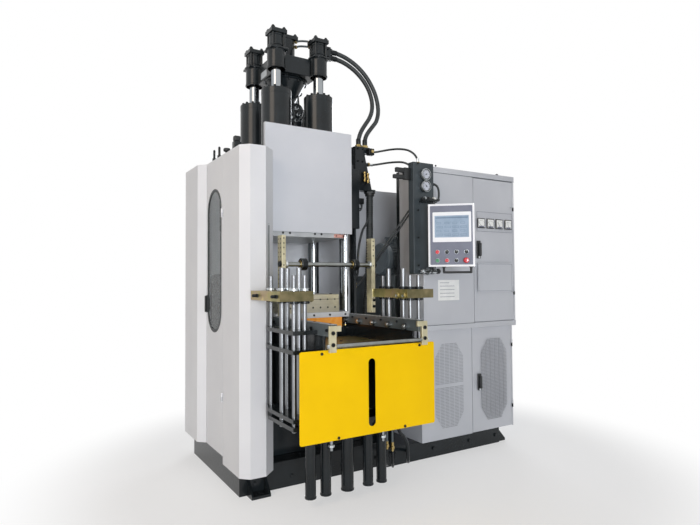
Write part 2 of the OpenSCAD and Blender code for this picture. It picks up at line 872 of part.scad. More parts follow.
// Place, top and diameter of each rod on one side
function rod_places() = [
    [rod_inner_x, -rod_front_y, rod_top_z, lifter_rod_d],
    [rod_outer_x, -rod_front_y, rod_top_z, lifter_rod_d],
    [rod_middle_x, -rod_rear_y, rod_top_z, lifter_rod_d],
    [rod_inner_x, -tall_rod_front_y, tall_rod_top_z, tall_rod_d],
    [rod_outer_x, -tall_rod_mid_y, tall_rod_top_z, tall_rod_d],
    [rod_inner_x, -tall_rod_rear_y, tall_rod_top_z, tall_rod_d]
];

module guide_plates() color("#22282a") {
    both_sides() for (z = guide_zs) difference() {
        translate([0, 0, z]) linear_extrude(guide_plate_t) polygon([
            [rail_outer, -guide_front], [guide_plate_half, -guide_front],
            [guide_plate_half, -guide_back - guide_cut_d], [guide_plate_half - guide_cut_w, -guide_back],
            [rail_outer, -guide_back]
        ]);
        for (p = rod_places())
            upright(p[0], p[1], [z - overrun, z + guide_plate_t + overrun], p[3] + 2 * rod_play);
    }
}

module front_panel() color("#f2c800") {
    difference() {
        slab([-front_panel_w / 2, front_panel_w / 2], [-front_panel_y, -front_panel_y + front_panel_t],
            [front_panel_z, front_panel_z + front_panel_h]);
        translate([0, -front_panel_y, front_panel_z + slot_rise]) rotate(90)
            upright_slot(slot_w, slot_h, [-overrun, front_panel_t + overrun]);
    }
}

module ejector_tubes() color("#1f2426") {
    for (x = tube_xs) upright(x, -tube_y, [tube_z, side_plate_z], x == 0 ? middle_tube_d : tube_d);
}

// Each rail ends in a lower tail that reaches under the table plate
module slide_rails() color("#22282a") {
    x = [rail_outer - rail_w, rail_outer];
    both_sides() {
        slab(x, [-rail_front_reach + rail_bracket_t, -rail_back], [rail_z, rail_z + rail_h]);
        slab(x, [-rail_back, -rail_tail_back], [rail_z, table_z - rail_tail_gap]);
    }
}

module rail_rollers() color("#d6d9db") {
    both_sides() for (i = [0:roller_count - 1])
        translate([rail_outer - rail_w - roller_w, -roller_first + i * roller_pitch, rail_z + roller_rise])
            rotate([0, 90, 0]) cylinder(h = roller_w, d = roller_d);
}

module rail_brackets() color("#c9a54a") {
    y = [-rail_front_reach, -rail_front_reach + rail_bracket_t];
    both_sides() {
        slab([bracket_inner, bracket_outer], y, [bracket_z, bracket_top_z]);
        slab([bracket_lip_inner, bracket_inner], y, [bracket_top_z - bracket_lip_h, bracket_top_z]);
    }
}

module roller_bar() color("#d6d9db") {
    translate([-bracket_inner, -rail_front_reach + rail_bracket_t / 2, bracket_z + roller_bar_rise])
        rotate([0, 90, 0]) cylinder(h = 2 * bracket_inner, d = roller_bar_d);
}

module lifting_arms() color("#c2a850") {
    both_sides() difference() {
        slab([arm_inner, arm_outer], [-arm_front, -arm_back], [arm_z, arm_z + arm_t]);
        slab([arm_inner - overrun, hanger_inner + hanger_w], [-hanger_front, -arm_back + overrun],
            [arm_z - overrun, arm_z + arm_t + overrun]);
        for (p = rod_places())
            upright(p[0], p[1], [arm_z - overrun, arm_z + arm_t + overrun], p[3] + 2 * collar_play);
    }
}

module lifter_rods() color("#d6d9db") {
    both_sides() for (p = rod_places()) upright(p[0], p[1], [rod_bottom_z, p[2]], p[3]);
}

module rod_collars() color("#22282a") {
    both_sides() for (p = rod_places(), z = [arm_z - collar_h, arm_z + arm_t]) difference() {
        upright(p[0], p[1], [z, z + collar_h], collar_d);
        upright(p[0], p[1], [z - overrun, z + collar_h + overrun], p[3] + 2 * collar_play);
    }
}

// Bars beside the arms, notched on the inner face above the cross bar
module hanger_bars() color("#c2a850") {
    y = [-hanger_front, -hanger_front + hanger_d];
    both_sides() difference() {
        slab([hanger_inner, hanger_inner + hanger_w], y, [hanger_z, hanger_top_z]);
        for (i = [0:notch_count - 1]) {
            z = hanger_top_z - notch_drop - i * notch_pitch;
            slab([hanger_inner - overrun, hanger_inner + notch_depth], [(y[0] + y[1]) / 2, y[1] + overrun],
                [z - notch_h, z]);
        }
    }
}

module cross_bar() color("#d6d9db") {
    translate([-hanger_inner, -hanger_front + cross_bar_in, cross_bar_z]) rotate([0, 90, 0])
        cylinder(h = 2 * hanger_inner, d = cross_bar_d);
    for (x = [-bar_block_x, bar_block_x])
        translate([x - bar_block_w / 2, -hanger_front + cross_bar_in, cross_bar_z]) rotate([0, 90, 0])
            cylinder(h = bar_block_w, d = bar_block_d);
}

// Manifold plate on the head's right side with a port block and a gland lip, and the post on the bed below it
module valve_manifold() color("#22282a") {
    x = bed_w / 2;
    top = head_top_z + manifold_rise;
    foot = head_top_z - manifold_drop;
    translate([0, -manifold_y + manifold_t, 0]) rotate([90, 0, 0]) linear_extrude(manifold_t)
        polygon([
            [x, foot], [x + gland_lip, foot], [x + gland_lip, foot + gland_lip_t],
            [x + manifold_foot, foot + gland_lip_t], [x + manifold_top, top - port_block_h],
            [x + port_block, top - port_block_h], [x + port_block, top], [x, top]
        ]);
    for (i = [0:len(manifold_port_drops) - 1])
        translate([x, -manifold_y + manifold_t / 2, top - manifold_port_drops[i]]) rotate([0, 90, 0])
            cylinder(h = manifold_port_reaches[i], d = manifold_port_d);
    slab([x - post_w, x], [-manifold_y, -manifold_y + post_d], [bed_top_z, head_z]);
}

module lower_cabinet() color("#c4c8cd") {
    back = [lower_front + cabinet_door_t + seam_w, lower_back];
    difference() {
        union() {
            slab([cabinet_left, cabinet_right - cabinet_wall], back, [power_base_h, lower_cabinet_top_z]);
            slab([cabinet_left, bay_seam], [lower_front, back[1]], [power_base_h, lower_cabinet_top_z]);
            slab([cabinet_hinge_x + seam_w / 2, cabinet_right - cabinet_wall], [lower_front, back[1]],
                [power_base_h, lower_cabinet_top_z]);
        }
        slab(bay_inside, [back[0] - overrun, lower_back - cabinet_wall],
            [power_base_h + hinge_strip, lower_cabinet_top_z - hinge_strip]);
    }
}

module louvre_door() color("#c4c8cd") {
    slab(bay_door, [lower_front, lower_front + cabinet_door_t], louvre_door_zs);
    hinge_knuckles(cabinet_hinge_x, louvre_hinge_y, louvre_door_zs, true);
}

module upper_cabinet() color("#c4c8cd") {
    z = [lower_cabinet_top_z, cabinet_top_z];
    y = [-cabinet_front, cabinet_back];
    front = -cabinet_front + cabinet_door_t + seam_w;
    difference() {
        slab([cabinet_left, cabinet_right], y, z);
        slab([bay_seam, cabinet_hinge_x + seam_w / 2], [-cabinet_front - overrun, front],
            [z[0] + cabinet_lip_bottom, z[1] - cabinet_lip_top]);
        slab(bay_inside, [front - overrun, cabinet_back - cabinet_wall],
            [z[0] + cabinet_lip_bottom + hinge_strip, z[1] - cabinet_lip_top - hinge_strip]);
    }
}

module cabinet_door() color("#c4c8cd") {
    slab(bay_door, [-cabinet_front, -cabinet_front + cabinet_door_t], cabinet_door_zs);
    hinge_knuckles(cabinet_hinge_x, cabinet_hinge_y, cabinet_door_zs, true);
}

module oil_tank() color("#4a5154") {
    slab([tank_left, tank_right], [lower_back + tank_gap, tank_back], [power_base_h, power_base_h + tank_h]);
}

// Motor lying along X on its foot, on top of the tank
module pump_motor() color("#4a5154") {
    z = power_base_h + tank_h;
    x = tank_left + motor_inset;
    translate([x, motor_y, z + motor_rise]) rotate([0, 90, 0]) cylinder(h = motor_l, d = motor_d);
    slab([x + motor_inset, x + motor_l - motor_inset],
        [motor_y - motor_foot_w / 2, motor_y + motor_foot_w / 2], [z, z + motor_rise]);
}

// Panels at the back and the right of the power unit, and the post behind the upper cabinet
module power_panels() color("#c4c8cd") {
    slab([press_base_right, cabinet_right], [base_back - panel_t, base_back], [power_base_h, cabinet_top_z]);
    slab([cabinet_right - panel_t, cabinet_right], [cabinet_back, base_back - panel_t],
        [power_base_h, cabinet_top_z]);
    slab([cabinet_left, cabinet_left + cabinet_post_w], [cabinet_back, cabinet_back + cabinet_post_w],
        [lower_cabinet_top_z, cabinet_top_z]);
}

module gauge_column() color("#22282a") {
    slab([column_left, column_right], [-column_front, -column_front + column_d],
        [column_z, column_z + column_h]);
    for (i = [0, 1])
        translate([column_left + gauge_x, -column_front, column_z + column_h - gauge_drop - i * gauge_pitch])
            rotate([90, 0, 0]) cylinder(h = gauge_t, d = gauge_d);
    for (rise = stay_rises)
        slab([cabinet_left - stay_w, cabinet_left], [-column_front + column_d, -cabinet_front + stay_lap],
            [column_z + rise, column_z + rise + stay_h]);
}

// Plates on the gauge column, and the pins on which the operator box turns
module panel_bracket() color("#22282a") {
    lower = [panel_box_z - pivot_gap - pivot_plate_t, panel_box_z - pivot_gap];
    top = panel_box_z + panel_box_h;
    upper = [top + pivot_gap, top + pivot_gap + pivot_plate_t];
    for (z = [lower, upper])
        slab([pivot_x + pivot_plate_lap - pivot_plate_w, pivot_x + pivot_plate_lap],
            [pivot_y - pivot_plate_lap, -column_front], z);
    upright(pivot_x, pivot_y, [lower[1], panel_box_z - hinge_play], pivot_d);
    upright(pivot_x, pivot_y, [top + hinge_play, upper[0]], pivot_d);
}

module operator_box() color("#e4e6e8") {
    translate([pivot_x, pivot_y, panel_box_z]) rotate(-panel_turn) {
        slab([-pivot_inset, panel_box_w - pivot_inset], [-panel_box_t / 2, panel_box_t / 2], [0, panel_box_h]);
        for (x = [grip_from, grip_to]) upright(x, 0, [-grip_h, 0], grip_d);
        translate([grip_from, 0, -grip_h]) rotate([0, 90, 0]) cylinder(h = grip_to - grip_from, d = grip_d);
        for (x = [grip_from, grip_to]) translate([x, 0, -grip_h]) sphere(d = grip_d);
    }
}

module pressure_hose_front() color("#1d2021") tube_along(pressure_front_route, hose_d, along_y);

module pressure_hose_back() color("#1d2021") tube_along(pressure_back_route, hose_d, along_y);

module gauge_hose_upper() color("#1d2021") tube_along(gauge_upper_route, gauge_hose_d, aslant);

module gauge_hose_lower() color("#1d2021") tube_along(gauge_lower_route, gauge_hose_d, along_z);

module cable_conduit() color("#1d2021") tube_along(conduit_route, conduit_d, along_y);

placed() press_base();
placed() power_base();
placed() floor_feet();
placed() press_bed();
placed() clamp_cylinder();
placed() clamp_ram();
placed() tie_bars();
placed() moving_platen();
placed() insulating_board();
placed() table_plate();
placed() heating_plate();
placed() mould_plate();
placed() upper_platen();
placed() press_head();
placed() head_cover();
placed() lift_cylinders();
placed() lift_rods();
placed() yoke_sleeves();
placed() upper_cylinders();
placed() injection_yoke();
placed() barrel();
placed() core_cylinder();
placed() front_column();
placed() rear_column();
placed() cover_brackets();
placed() cover_hinges();
placed() cover_door();
placed() door_gasket();
placed() door_window();
placed() door_handle();
placed() press_back_panel();
placed() front_frame();
placed() guide_plates();
placed() front_panel();
placed() ejector_tubes();
placed() slide_rails();
placed() rail_rollers();
placed() rail_brackets();
placed() roller_bar();
placed() lifting_arms();
placed() lifter_rods();
placed() rod_collars();
placed() hanger_bars();
placed() cross_bar();
placed() valve_manifold();
placed() lower_cabinet();
placed() louvre_door();
placed() upper_cabinet();
placed() cabinet_door();
placed() oil_tank();
placed() pump_motor();
placed() power_panels();
placed() gauge_column();
placed() panel_bracket();
placed() operator_box();
pressure_hose_front();
pressure_hose_back();
gauge_hose_upper();
gauge_hose_lower();
cable_conduit();
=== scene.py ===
import math

import bmesh
import bpy
from mathutils import Matrix, Vector


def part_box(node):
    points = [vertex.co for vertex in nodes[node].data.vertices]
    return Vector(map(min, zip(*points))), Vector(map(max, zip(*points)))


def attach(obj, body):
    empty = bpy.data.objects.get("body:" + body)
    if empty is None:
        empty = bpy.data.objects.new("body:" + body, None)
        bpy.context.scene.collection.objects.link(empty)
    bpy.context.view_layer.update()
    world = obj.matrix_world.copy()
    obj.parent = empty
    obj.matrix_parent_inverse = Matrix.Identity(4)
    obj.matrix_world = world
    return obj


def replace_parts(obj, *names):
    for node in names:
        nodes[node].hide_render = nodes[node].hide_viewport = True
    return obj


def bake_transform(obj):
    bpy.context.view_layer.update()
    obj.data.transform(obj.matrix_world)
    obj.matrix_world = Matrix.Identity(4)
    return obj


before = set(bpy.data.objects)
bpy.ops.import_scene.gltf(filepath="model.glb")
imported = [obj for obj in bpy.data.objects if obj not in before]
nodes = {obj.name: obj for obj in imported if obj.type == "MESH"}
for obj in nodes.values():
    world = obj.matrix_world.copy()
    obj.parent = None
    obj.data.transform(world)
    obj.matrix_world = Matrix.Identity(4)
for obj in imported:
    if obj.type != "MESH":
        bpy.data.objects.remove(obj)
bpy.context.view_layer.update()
ramLow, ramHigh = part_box("clamp_ram")
pressAxis = (ramLow + ramHigh) / 2
# pieces are drawn in millimetres from the press axis and the floor
pressFrame = Matrix.Translation((pressAxis.x, pressAxis.y, 0)) @ Matrix.Scale(0.001, 4)
print("frame loaded,", len(nodes), "nodes")

# camera of the photograph

photoView = {
    "place": (-1800, -3870, 1400),  # mm from the press axis
    "yaw": 31.377,
    "pitch": 1.795,
    "roll": -0.371,
    "lens": 27.925,
    "sensor": 36.0,
    "farClip": 60,
}


def aimCamera(view):
    yaw, pitch, roll = (math.radians(view[k]) for k in ("yaw", "pitch", "roll"))
    forward = Vector((math.sin(yaw) * math.cos(pitch), math.cos(yaw) * math.cos(pitch), math.sin(pitch)))
    right = Vector((math.cos(yaw), -math.sin(yaw), 0))
    up = right.cross(forward)
    tiltedRight = math.cos(roll) * right + math.sin(roll) * up
    tiltedUp = math.cos(roll) * up - math.sin(roll) * right
    camera = bpy.data.objects.new("photoCamera", bpy.data.cameras.new("photoCamera"))
    camera.data.sensor_width = view["sensor"]
    camera.data.lens = view["lens"]
    camera.data.clip_end = view["farClip"]
    turn = Matrix((tiltedRight, tiltedUp, -forward)).transposed().to_4x4()
    camera.matrix_world = Matrix.Translation(pressFrame @ Vector(view["place"])) @ turn
    bpy.context.scene.collection.objects.link(camera)
    bpy.context.scene.camera = camera


aimCamera(photoView)
print("camera placed")

# mesh tools: each adds closed faces to a bmesh


def tagFaces(faces, paint):
    # a new face has index 0 until it is painted, so paints are kept one up until the piece is finished
    for face in faces:
        if face.material_index == 0:
            face.material_index = paint + 1


def addBlock(mesh, low, high, edge=0.0, paint=0, rounds=2):
    size = [b - a for a, b in zip(low, high)]
    middle = [(a + b) / 2 for a, b in zip(low, high)]
    made = bmesh.ops.create_cube(mesh, matrix=Matrix.Translation(middle) @ Matrix.Diagonal((*size, 1)))
    faces = {f for v in made["verts"] for f in v.link_faces}
    if edge:
        edges = list({e for v in made["verts"] for e in v.link_edges})
        bmesh.ops.bevel(mesh, geom=edges, offset=edge, segments=rounds, profile=0.5, affect="EDGES")
        faces = mesh.faces
    tagFaces(faces, paint)


def addTurned(mesh, place, axis, profile, sides=24, paint=0, closed=False, twist=0.0):
    # profile: radius and height pairs along the axis; a closed profile makes a ring
    up = Vector(axis).normalized()
    across = (Vector((0, 0, 1)) if abs(up.z) < 0.9 else Vector((1, 0, 0))).cross(up).normalized()
    aside = up.cross(across)
    rings = []
    for radius, height in profile:
        centre = Vector(place) + up * height
        if radius < 1e-6:
            rings.append([mesh.verts.new(centre)])
            continue
        angles = [twist + 2 * math.pi * k / sides for k in range(sides)]
        spokes = [math.cos(a) * across + math.sin(a) * aside for a in angles]
        rings.append([mesh.verts.new(centre + radius * spoke) for spoke in spokes])
    pairs = list(zip(rings, rings[1:] + rings[:1])) if closed else list(zip(rings, rings[1:]))
    made = []
    for low, high in pairs:
        for k in range(sides):
            n = (k + 1) % sides
            corners = [low[k % len(low)], low[n % len(low)], high[n % len(high)], high[k % len(high)]]
            unique = list(dict.fromkeys(corners))
            if len(unique) > 2:
                made.append(mesh.faces.new(unique))
    tagFaces(made, paint)


def addRod(mesh, start, end, radius, edge=1.0, sides=20, paint=0):
    length = (Vector(end) - Vector(start)).length
    profile = [(0, 0), (radius - edge, 0), (radius, edge), (radius, length - edge),
        (radius - edge, length), (0, length)]
    addTurned(mesh, start, Vector(end) - Vector(start), profile, sides, paint)


def addHexHead(mesh, place, axis, flats, height, paint=0):
    radius = flats / math.sqrt(3)
    top = height * 0.86
    addTurned(mesh, place, axis, [(0, 0), (radius, 0), (radius, top), (radius * 0.9, height), (0, height)],
        6, paint)


def addSocketHead(mesh, place, axis, diameter, height, paint=0):
    radius, recess = diameter / 2, diameter * 0.27
    addTurned(mesh, place, axis, [(0, 0), (radius, 0), (radius, height * 0.85), (radius * 0.88, height),
        (recess, height), (recess, height * 0.45), (0, height * 0.45)], 18, paint)


def smoothLine(points, stepsEach):
    # Catmull-Rom line through the points
    points = [Vector(p) for p in points]
    padded = [2 * points[0] - points[1], *points, 2 * points[-1] - points[-2]]
    line = []
    for a, b, c, d in zip(padded, padded[1:], padded[2:], padded[3:]):
        for k in range(stepsEach):
            t = k / stepsEach
            line.append(0.5 * (2 * b + (c - a) * t + (2 * a - 5 * b + 4 * c - d) * t * t
                + (3 * b - a - 3 * c + d) * t ** 3))
    return line + [points[-1]]


def lineLength(line):
    return sum((b - a).length for a, b in zip(line, line[1:]))


def addTube(mesh, line, radii, sides=14, paint=0):
    # radii: one radius, or one for each point of the line
    line = [Vector(p) for p in line]
    if not isinstance(radii, (list, tuple)):
        radii = [radii] * len(line)
    direction = (line[1] - line[0]).normalized()
    across = direction.orthogonal().normalized()
    rings = []
    for i, point in enumerate(line):
        heading = (line[min(i + 1, len(line) - 1)] - line[max(i - 1, 0)]).normalized()
        across = (across - heading * across.dot(heading)).normalized()
        aside = heading.cross(across)
        angles = [2 * math.pi * k / sides for k in range(sides)]
        spokes = [math.cos(a) * across + math.sin(a) * aside for a in angles]
        rings.append([mesh.verts.new(point + radii[i] * spoke) for spoke in spokes])
    made = [mesh.faces.new(rings[0][::-1]), mesh.faces.new(rings[-1])]
    for low, high in zip(rings, rings[1:]):
        for k in range(sides):
            n = (k + 1) % sides
            made.append(mesh.faces.new((low[k], low[n], high[n], high[k])))
    tagFaces(made, paint)


def addPlate(mesh, outline, normal, thickness, paint=0):
    # flat plate from a loop of points, raised along the normal
    rise = Vector(normal).normalized() * thickness
    low = [mesh.verts.new(p) for p in outline]
    high = [mesh.verts.new(Vector(p) + rise) for p in outline]
    made = [mesh.faces.new(low[::-1]), mesh.faces.new(high)]
    for k in range(len(low)):
        n = (k + 1) % len(low)
        made.append(mesh.faces.new((low[k], low[n], high[n], high[k])))
    tagFaces(made, paint)


def finishPiece(name, mesh, finishes, body, where=pressFrame, sharp=35, rides=True):
    mesh.transform(where)
    for face in mesh.faces:
        face.material_index = max(0, face.material_index - 1)
    bmesh.ops.recalc_face_normals(mesh, faces=mesh.faces)
    data = bpy.data.meshes.new(name)
    mesh.to_mesh(data)
    mesh.free()
    for finish in finishes:
        data.materials.append(finish)
    data.polygons.foreach_set("use_smooth", [True] * len(data.polygons))
    data.set_sharp_from_angle(angle=math.radians(sharp))
    piece = bpy.data.objects.new(name, data)
    bpy.context.scene.collection.objects.link(piece)
    if rides:
        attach(piece, body)
    return piece


# finishes


def toLinear(code):
    values = [int(code[i:i + 2], 16) / 255 for i in (1, 3, 5)]
    return tuple(v / 12.92 if v <= 0.04045 else ((v + 0.055) / 1.055) ** 2.4 for v in values) + (1.0,)


def perMm(size):
    return 1000.0 / size  # noise scale that gives features of that size


def addNode(tree, kind, links=None, **settings):
    node = tree.nodes.new("ShaderNode" + kind)
    for name, value in settings.items():
        setattr(node, name, value)
    for socket, source in (links or {}).items():
        if isinstance(source, bpy.types.NodeSocket):
            tree.links.new(source, node.inputs[socket])
        else:
            node.inputs[socket].default_value = source
    return node


def newFinish(name, **sockets):
    material = bpy.data.materials.new(name)
    material.use_nodes = True
    shader = material.node_tree.nodes["Principled BSDF"]
    for socket, value in sockets.items():
        shader.inputs[socket.replace("_", " ")].default_value = value
    return material, material.node_tree, shader


def weatherSurface(tree, shader, dark, light, patchMm, grainMm, relief, rough, stretch=(1, 1, 1)):
    # colour drifts over patches, gloss drifts with it, and a fine grain raises the surface
    place = addNode(tree, "TexCoord").outputs["Object"]
    drift = addNode(tree, "TexNoise", {"Vector": place, "Scale": perMm(patchMm), "Detail": 4.0})
    drawn = addNode(tree, "Mapping", {"Vector": place, "Scale": stretch})
    grain = addNode(tree, "TexNoise", {"Vector": drawn.outputs["Vector"], "Scale": perMm(grainMm),
        "Detail": 2.0})
    ramp = addNode(tree, "ValToRGB", {"Fac": drift.outputs["Fac"]})
    ramp.color_ramp.elements[0].position = 0.3
    ramp.color_ramp.elements[0].color = toLinear(dark)
    ramp.color_ramp.elements[1].position = 0.7
    ramp.color_ramp.elements[1].color = toLinear(light)
    tree.links.new(ramp.outputs["Color"], shader.inputs["Base Color"])
    gloss = addNode(tree, "MapRange", {"Value": grain.outputs["Fac"], "To Min": rough[0],
        "To Max": rough[1]})
    tree.links.new(gloss.outputs["Result"], shader.inputs["Roughness"])
    bump = addNode(tree, "Bump", {"Height": grain.outputs["Fac"], "Strength": 1.0,
        "Distance": relief / 1000})
    tree.links.new(bump.outputs["Normal"], shader.inputs["Normal"])
    return ramp.color_ramp


def mixFinish(name, dark, light, patchMm, grainMm, relief, rough, stretch=(1, 1, 1), **sockets):
    material, tree, shader = newFinish(name, **sockets)
    weatherSurface(tree, shader, dark, light, patchMm, grainMm, relief, rough, stretch)
    return material


# clear layer over paint: thin and dull on powder, fuller on enamel
thinCoat = {"Coat_Weight": 0.1, "Coat_Roughness": 0.3}
fullCoat = {"Coat_Weight": 0.2, "Coat_Roughness": 0.2}

# satin black machine enamel, brushed on castings: soft streak reflections, a little orange peel
blackEnamel = mixFinish("blackEnamel", "#15191b", "#1d2326", 160, 6, 0.06, (0.16, 0.28),
    Specular_IOR_Level=0.36)

# blue-black enamel on the gauge column: flatter and a little paler
blueBlackEnamel = mixFinish("blueBlackEnamel", "#32393d", "#3c4448", 160, 6, 0.06, (0.3, 0.42),
    Specular_IOR_Level=0.4)

# hard chrome on ground steel rods: bright, with faint grinding rings; a dark edge tint makes it darker
# towards the edges, a painted reflection of darker surroundings
hardChrome = mixFinish("hardChrome", "#9ca0a3", "#a8acaf", 200, 3, 0.0004, (0.14, 0.16), (0.05, 0.05, 1),
    Metallic=1.0, Specular_Tint=(0.2, 0.2, 0.22, 1.0))

# warm white powder coat on folded sheet: even, matt, fine orange peel of about 4 mm, drawn coarser to show
creamPowderCoat = mixFinish("creamPowderCoat", "#dadbde", "#e1e2e4", 420, 5, 0.10, (0.42, 0.52), **thinCoat)

# light grey powder coat on cabinets: even and matt with the same peel
greyPowderCoat = mixFinish("greyPowderCoat", "#bcbec3", "#c5c7cb", 380, 5, 0.10, (0.40, 0.52), **thinCoat)

# paler grey powder coat on the head cover: cool, with the same peel
paleGreyPowderCoat = mixFinish("paleGreyPowderCoat", "#cbced4", "#d3d5da", 380, 5, 0.10,
    (0.40, 0.52), **thinCoat)

# the palest grey powder coat, on the panel behind the press that gets little light: painted paler than its
# coat, as painted light in place of the light it lacks
paintedLightPanelCoat = mixFinish("paintedLightPanelCoat", "#eef1f6", "#f7f9fc", 380, 5, 0.10, (0.40, 0.52), **thinCoat)

# the cabinet's grey in the shade of punched slots: darker and duller
shadedPowderCoat = mixFinish("shadedPowderCoat", "#8e9094", "#9a9ca0", 200, 5, 0.10, (0.5, 0.62))

# yellow powder coat on guard sheet: saturated and half gloss
yellowPowderCoat = mixFinish("yellowPowderCoat", "#f3c400", "#facc00", 300, 5, 0.10, (0.36, 0.48),
    Specular_IOR_Level=0.15)

# yellow chromated zinc on machined steel: straw gold that drifts to olive and pink
yellowZinc, tree, shader = newFinish("yellowZinc", Metallic=0.8)
ramp = weatherSurface(tree, shader, "#7f7a4e", "#c2af74", 110, 5, 0.05, (0.28, 0.44), (1, 1, 4))
for position, code in ((0.42, "#8d8655"), (0.52, "#a3945f"), (0.62, "#a08a6c")):
    ramp.elements.new(position).color = toLinear(code)

# the same zinc, darker and more olive, on the front ends of the arms: painted shade, laid on the faces that
# look to the front
frontShadeZinc = mixFinish("frontShadeZinc", "#565438", "#85795a", 70, 5, 0.05, (0.3, 0.46), (1, 1, 4), Metallic=0.8)

# the same zinc, paler, on the hanger bars and brackets
paleZinc = mixFinish("paleZinc", "#b2ab8c", "#d8d0b2", 90, 5, 0.05, (0.3, 0.46), (1, 1, 4), Metallic=0.75)

# satin chrome on the lifter rods: greyer, with a soft reflection; a dark edge tint darkens its edges, a
# painted reflection of darker surroundings
satinChrome = mixFinish("satinChrome", "#828486", "#8e9092", 90, 4, 0.0004, (0.34, 0.38), (0.05, 0.05, 1),
    Metallic=1.0, Specular_Tint=(0.15, 0.15, 0.17, 1.0))

# oiled bar steel: mid grey, with the draw marks along it; a dark edge tint darkens its edges, a painted
# reflection of darker surroundings
oiledSteel = mixFinish("oiledSteel", "#80837f", "#9a9d9c", 60, 6, 0.01, (0.16, 0.28), (0.05, 1, 1),
    Metallic=1.0, Specular_Tint=(0.2, 0.2, 0.22, 1.0))

# nickel plated tool plates: warm pale grey, brushed along their length
nickelPlate = mixFinish("nickelPlate", "#b0aa97", "#c8c3b2", 120, 8, 0.05, (0.3, 0.44),
    (1, 8, 8), Metallic=0.75)

# ground tool steel: grey with straight grinding lines about 1 mm apart, drawn coarser to show
groundSteel = mixFinish("groundSteel", "#a2a5a8", "#bfc2c4", 120, 14, 0.04, (0.28, 0.45),
    (12, 1, 12), Metallic=0.5)

# bright ground steel on the table plate: painted paler than the platen's steel, as painted light for the low
# light it is seen in
paintedLightSteel = mixFinish("paintedLightSteel", "#cfd1d4", "#dfe1e3", 120, 14, 0.04, (0.3, 0.45),
    (12, 1, 12), Metallic=0.2)

# orange insulating board pressed from glass fibre: dull, faintly speckled
pressedBoard = mixFinish("pressedBoard", "#fc9a2c", "#ffb450", 24, 3, 0.10, (0.5, 0.66))

# black rubber hose cover, cured in a cloth wrap: dull with a fine weave print of about 1.5 mm, drawn at 4 mm
hoseRubber = mixFinish("hoseRubber", "#1e2122", "#323738", 60, 4, 0.25, (0.42, 0.62))

# clear polycarbonate glazing: smooth, a trace of grey; a low IOR, so that the backdrop veils it less
clearGlazing = mixFinish("clearGlazing", "#dfe6e6", "#eef2f2", 300, 200, 0.01, (0.02, 0.05),
    Transmission_Weight=1.0, IOR=1.16, Roughness=0.03)

# black glass-filled nylon, moulded: matt with a fine spark texture
mouldedNylon = mixFinish("mouldedNylon", "#141617", "#1f2223", 40, 2.5, 0.12, (0.45, 0.6))

# black oxide on screws and hinges: dark and oily
blackOxide = mixFinish("blackOxide", "#1b1d1e", "#303335", 20, 4, 0.05, (0.32, 0.5), Metallic=0.8)

# dark grey enamel on the tank and the slide rails: a soft shine with a little peel
greyEnamel = mixFinish("greyEnamel", "#3f474a", "#535c5f", 180, 6, 0.12, (0.3, 0.44), **fullCoat)

# mid grey motor enamel, sprayed over a ribbed casting: soft, slightly uneven shine
motorEnamel = mixFinish("motorEnamel", "#6a7378", "#7c858a", 180, 6, 0.12, (0.3, 0.44), **fullCoat)

# dial card behind glass: cool pale grey
dialCard = mixFinish("dialCard", "#b3b8c4", "#c8ccd4", 20, 6, 0.01, (0.2, 0.3), Coat_Weight=0.6,
    Coat_Roughness=0.05)

# white powder coat on the operator housing: clean and half gloss
whitePowderCoat = mixFinish("whitePowderCoat", "#e4e5e8", "#eeeff1", 260, 5, 0.08, (0.34, 0.44), **fullCoat)

# bright zinc on fittings and nuts: bluish silver, slightly patchy
brightZinc = mixFinish("brightZinc", "#a7adb0", "#d2d6d8", 18, 3, 0.04, (0.2, 0.36), Metallic=1.0)

# turned brass on fittings and bezels: warm, with faint turning marks
turnedBrass = mixFinish("turnedBrass", "#8d7746", "#bda872", 20, 3, 0.04, (0.2, 0.36), Metallic=1.0)

# slate polyester film over the operator panel's face: even, silky
slateFilm = mixFinish("slateFilm", "#646878", "#6e7282", 80, 2, 0.03, (0.42, 0.5))

# white printed enamel on dials, marks and cards: even and half matt
whiteEnamel = mixFinish("whiteEnamel", "#e6e7e4", "#f2f2ef", 60, 3, 0.02, (0.35, 0.48))

# coloured acrylic caps of the push buttons: deep colour under a clear shine
redAcrylic = mixFinish("redAcrylic", "#c21f2a", "#dc3440", 12, 3, 0.02, (0.18, 0.28), Coat_Weight=0.5,
    Coat_Roughness=0.08)
greenAcrylic = mixFinish("greenAcrylic", "#2f7a52", "#479a6a", 12, 3, 0.02, (0.18, 0.28), Coat_Weight=0.5,
    Coat_Roughness=0.08)

# satin anodised aluminium on a bare plate: pale, brushed along its length
anodisedAluminium = mixFinish("anodisedAluminium", "#b3b6b9", "#c8cacc", 60, 8, 0.03, (0.32, 0.44),
    (1, 12, 12), Metallic=0.9)

# copper clamp strip on the upper platen: warm, dulled by heat, and painted paler and pinker than copper as a
# painted highlight
copperAndSheen = mixFinish("copperAndSheen", "#c08478", "#d9a99f", 30, 3, 0.04, (0.3, 0.45), Metallic=0.9)

# liquid crystal glass, lit from behind at a low level: cool grey-blue with faint fields
crystalGlass = mixFinish("crystalGlass", "#8b9fb4", "#a6b8cb", 70, 30, 0.01, (0.5, 0.6),
    Specular_IOR_Level=0.2)

# fields on that glass where its crystals are dark
crystalInk = mixFinish("crystalInk", "#6f859c", "#7d91a7", 70, 30, 0.01, (0.5, 0.6), Specular_IOR_Level=0.2)

print("finishes mixed")

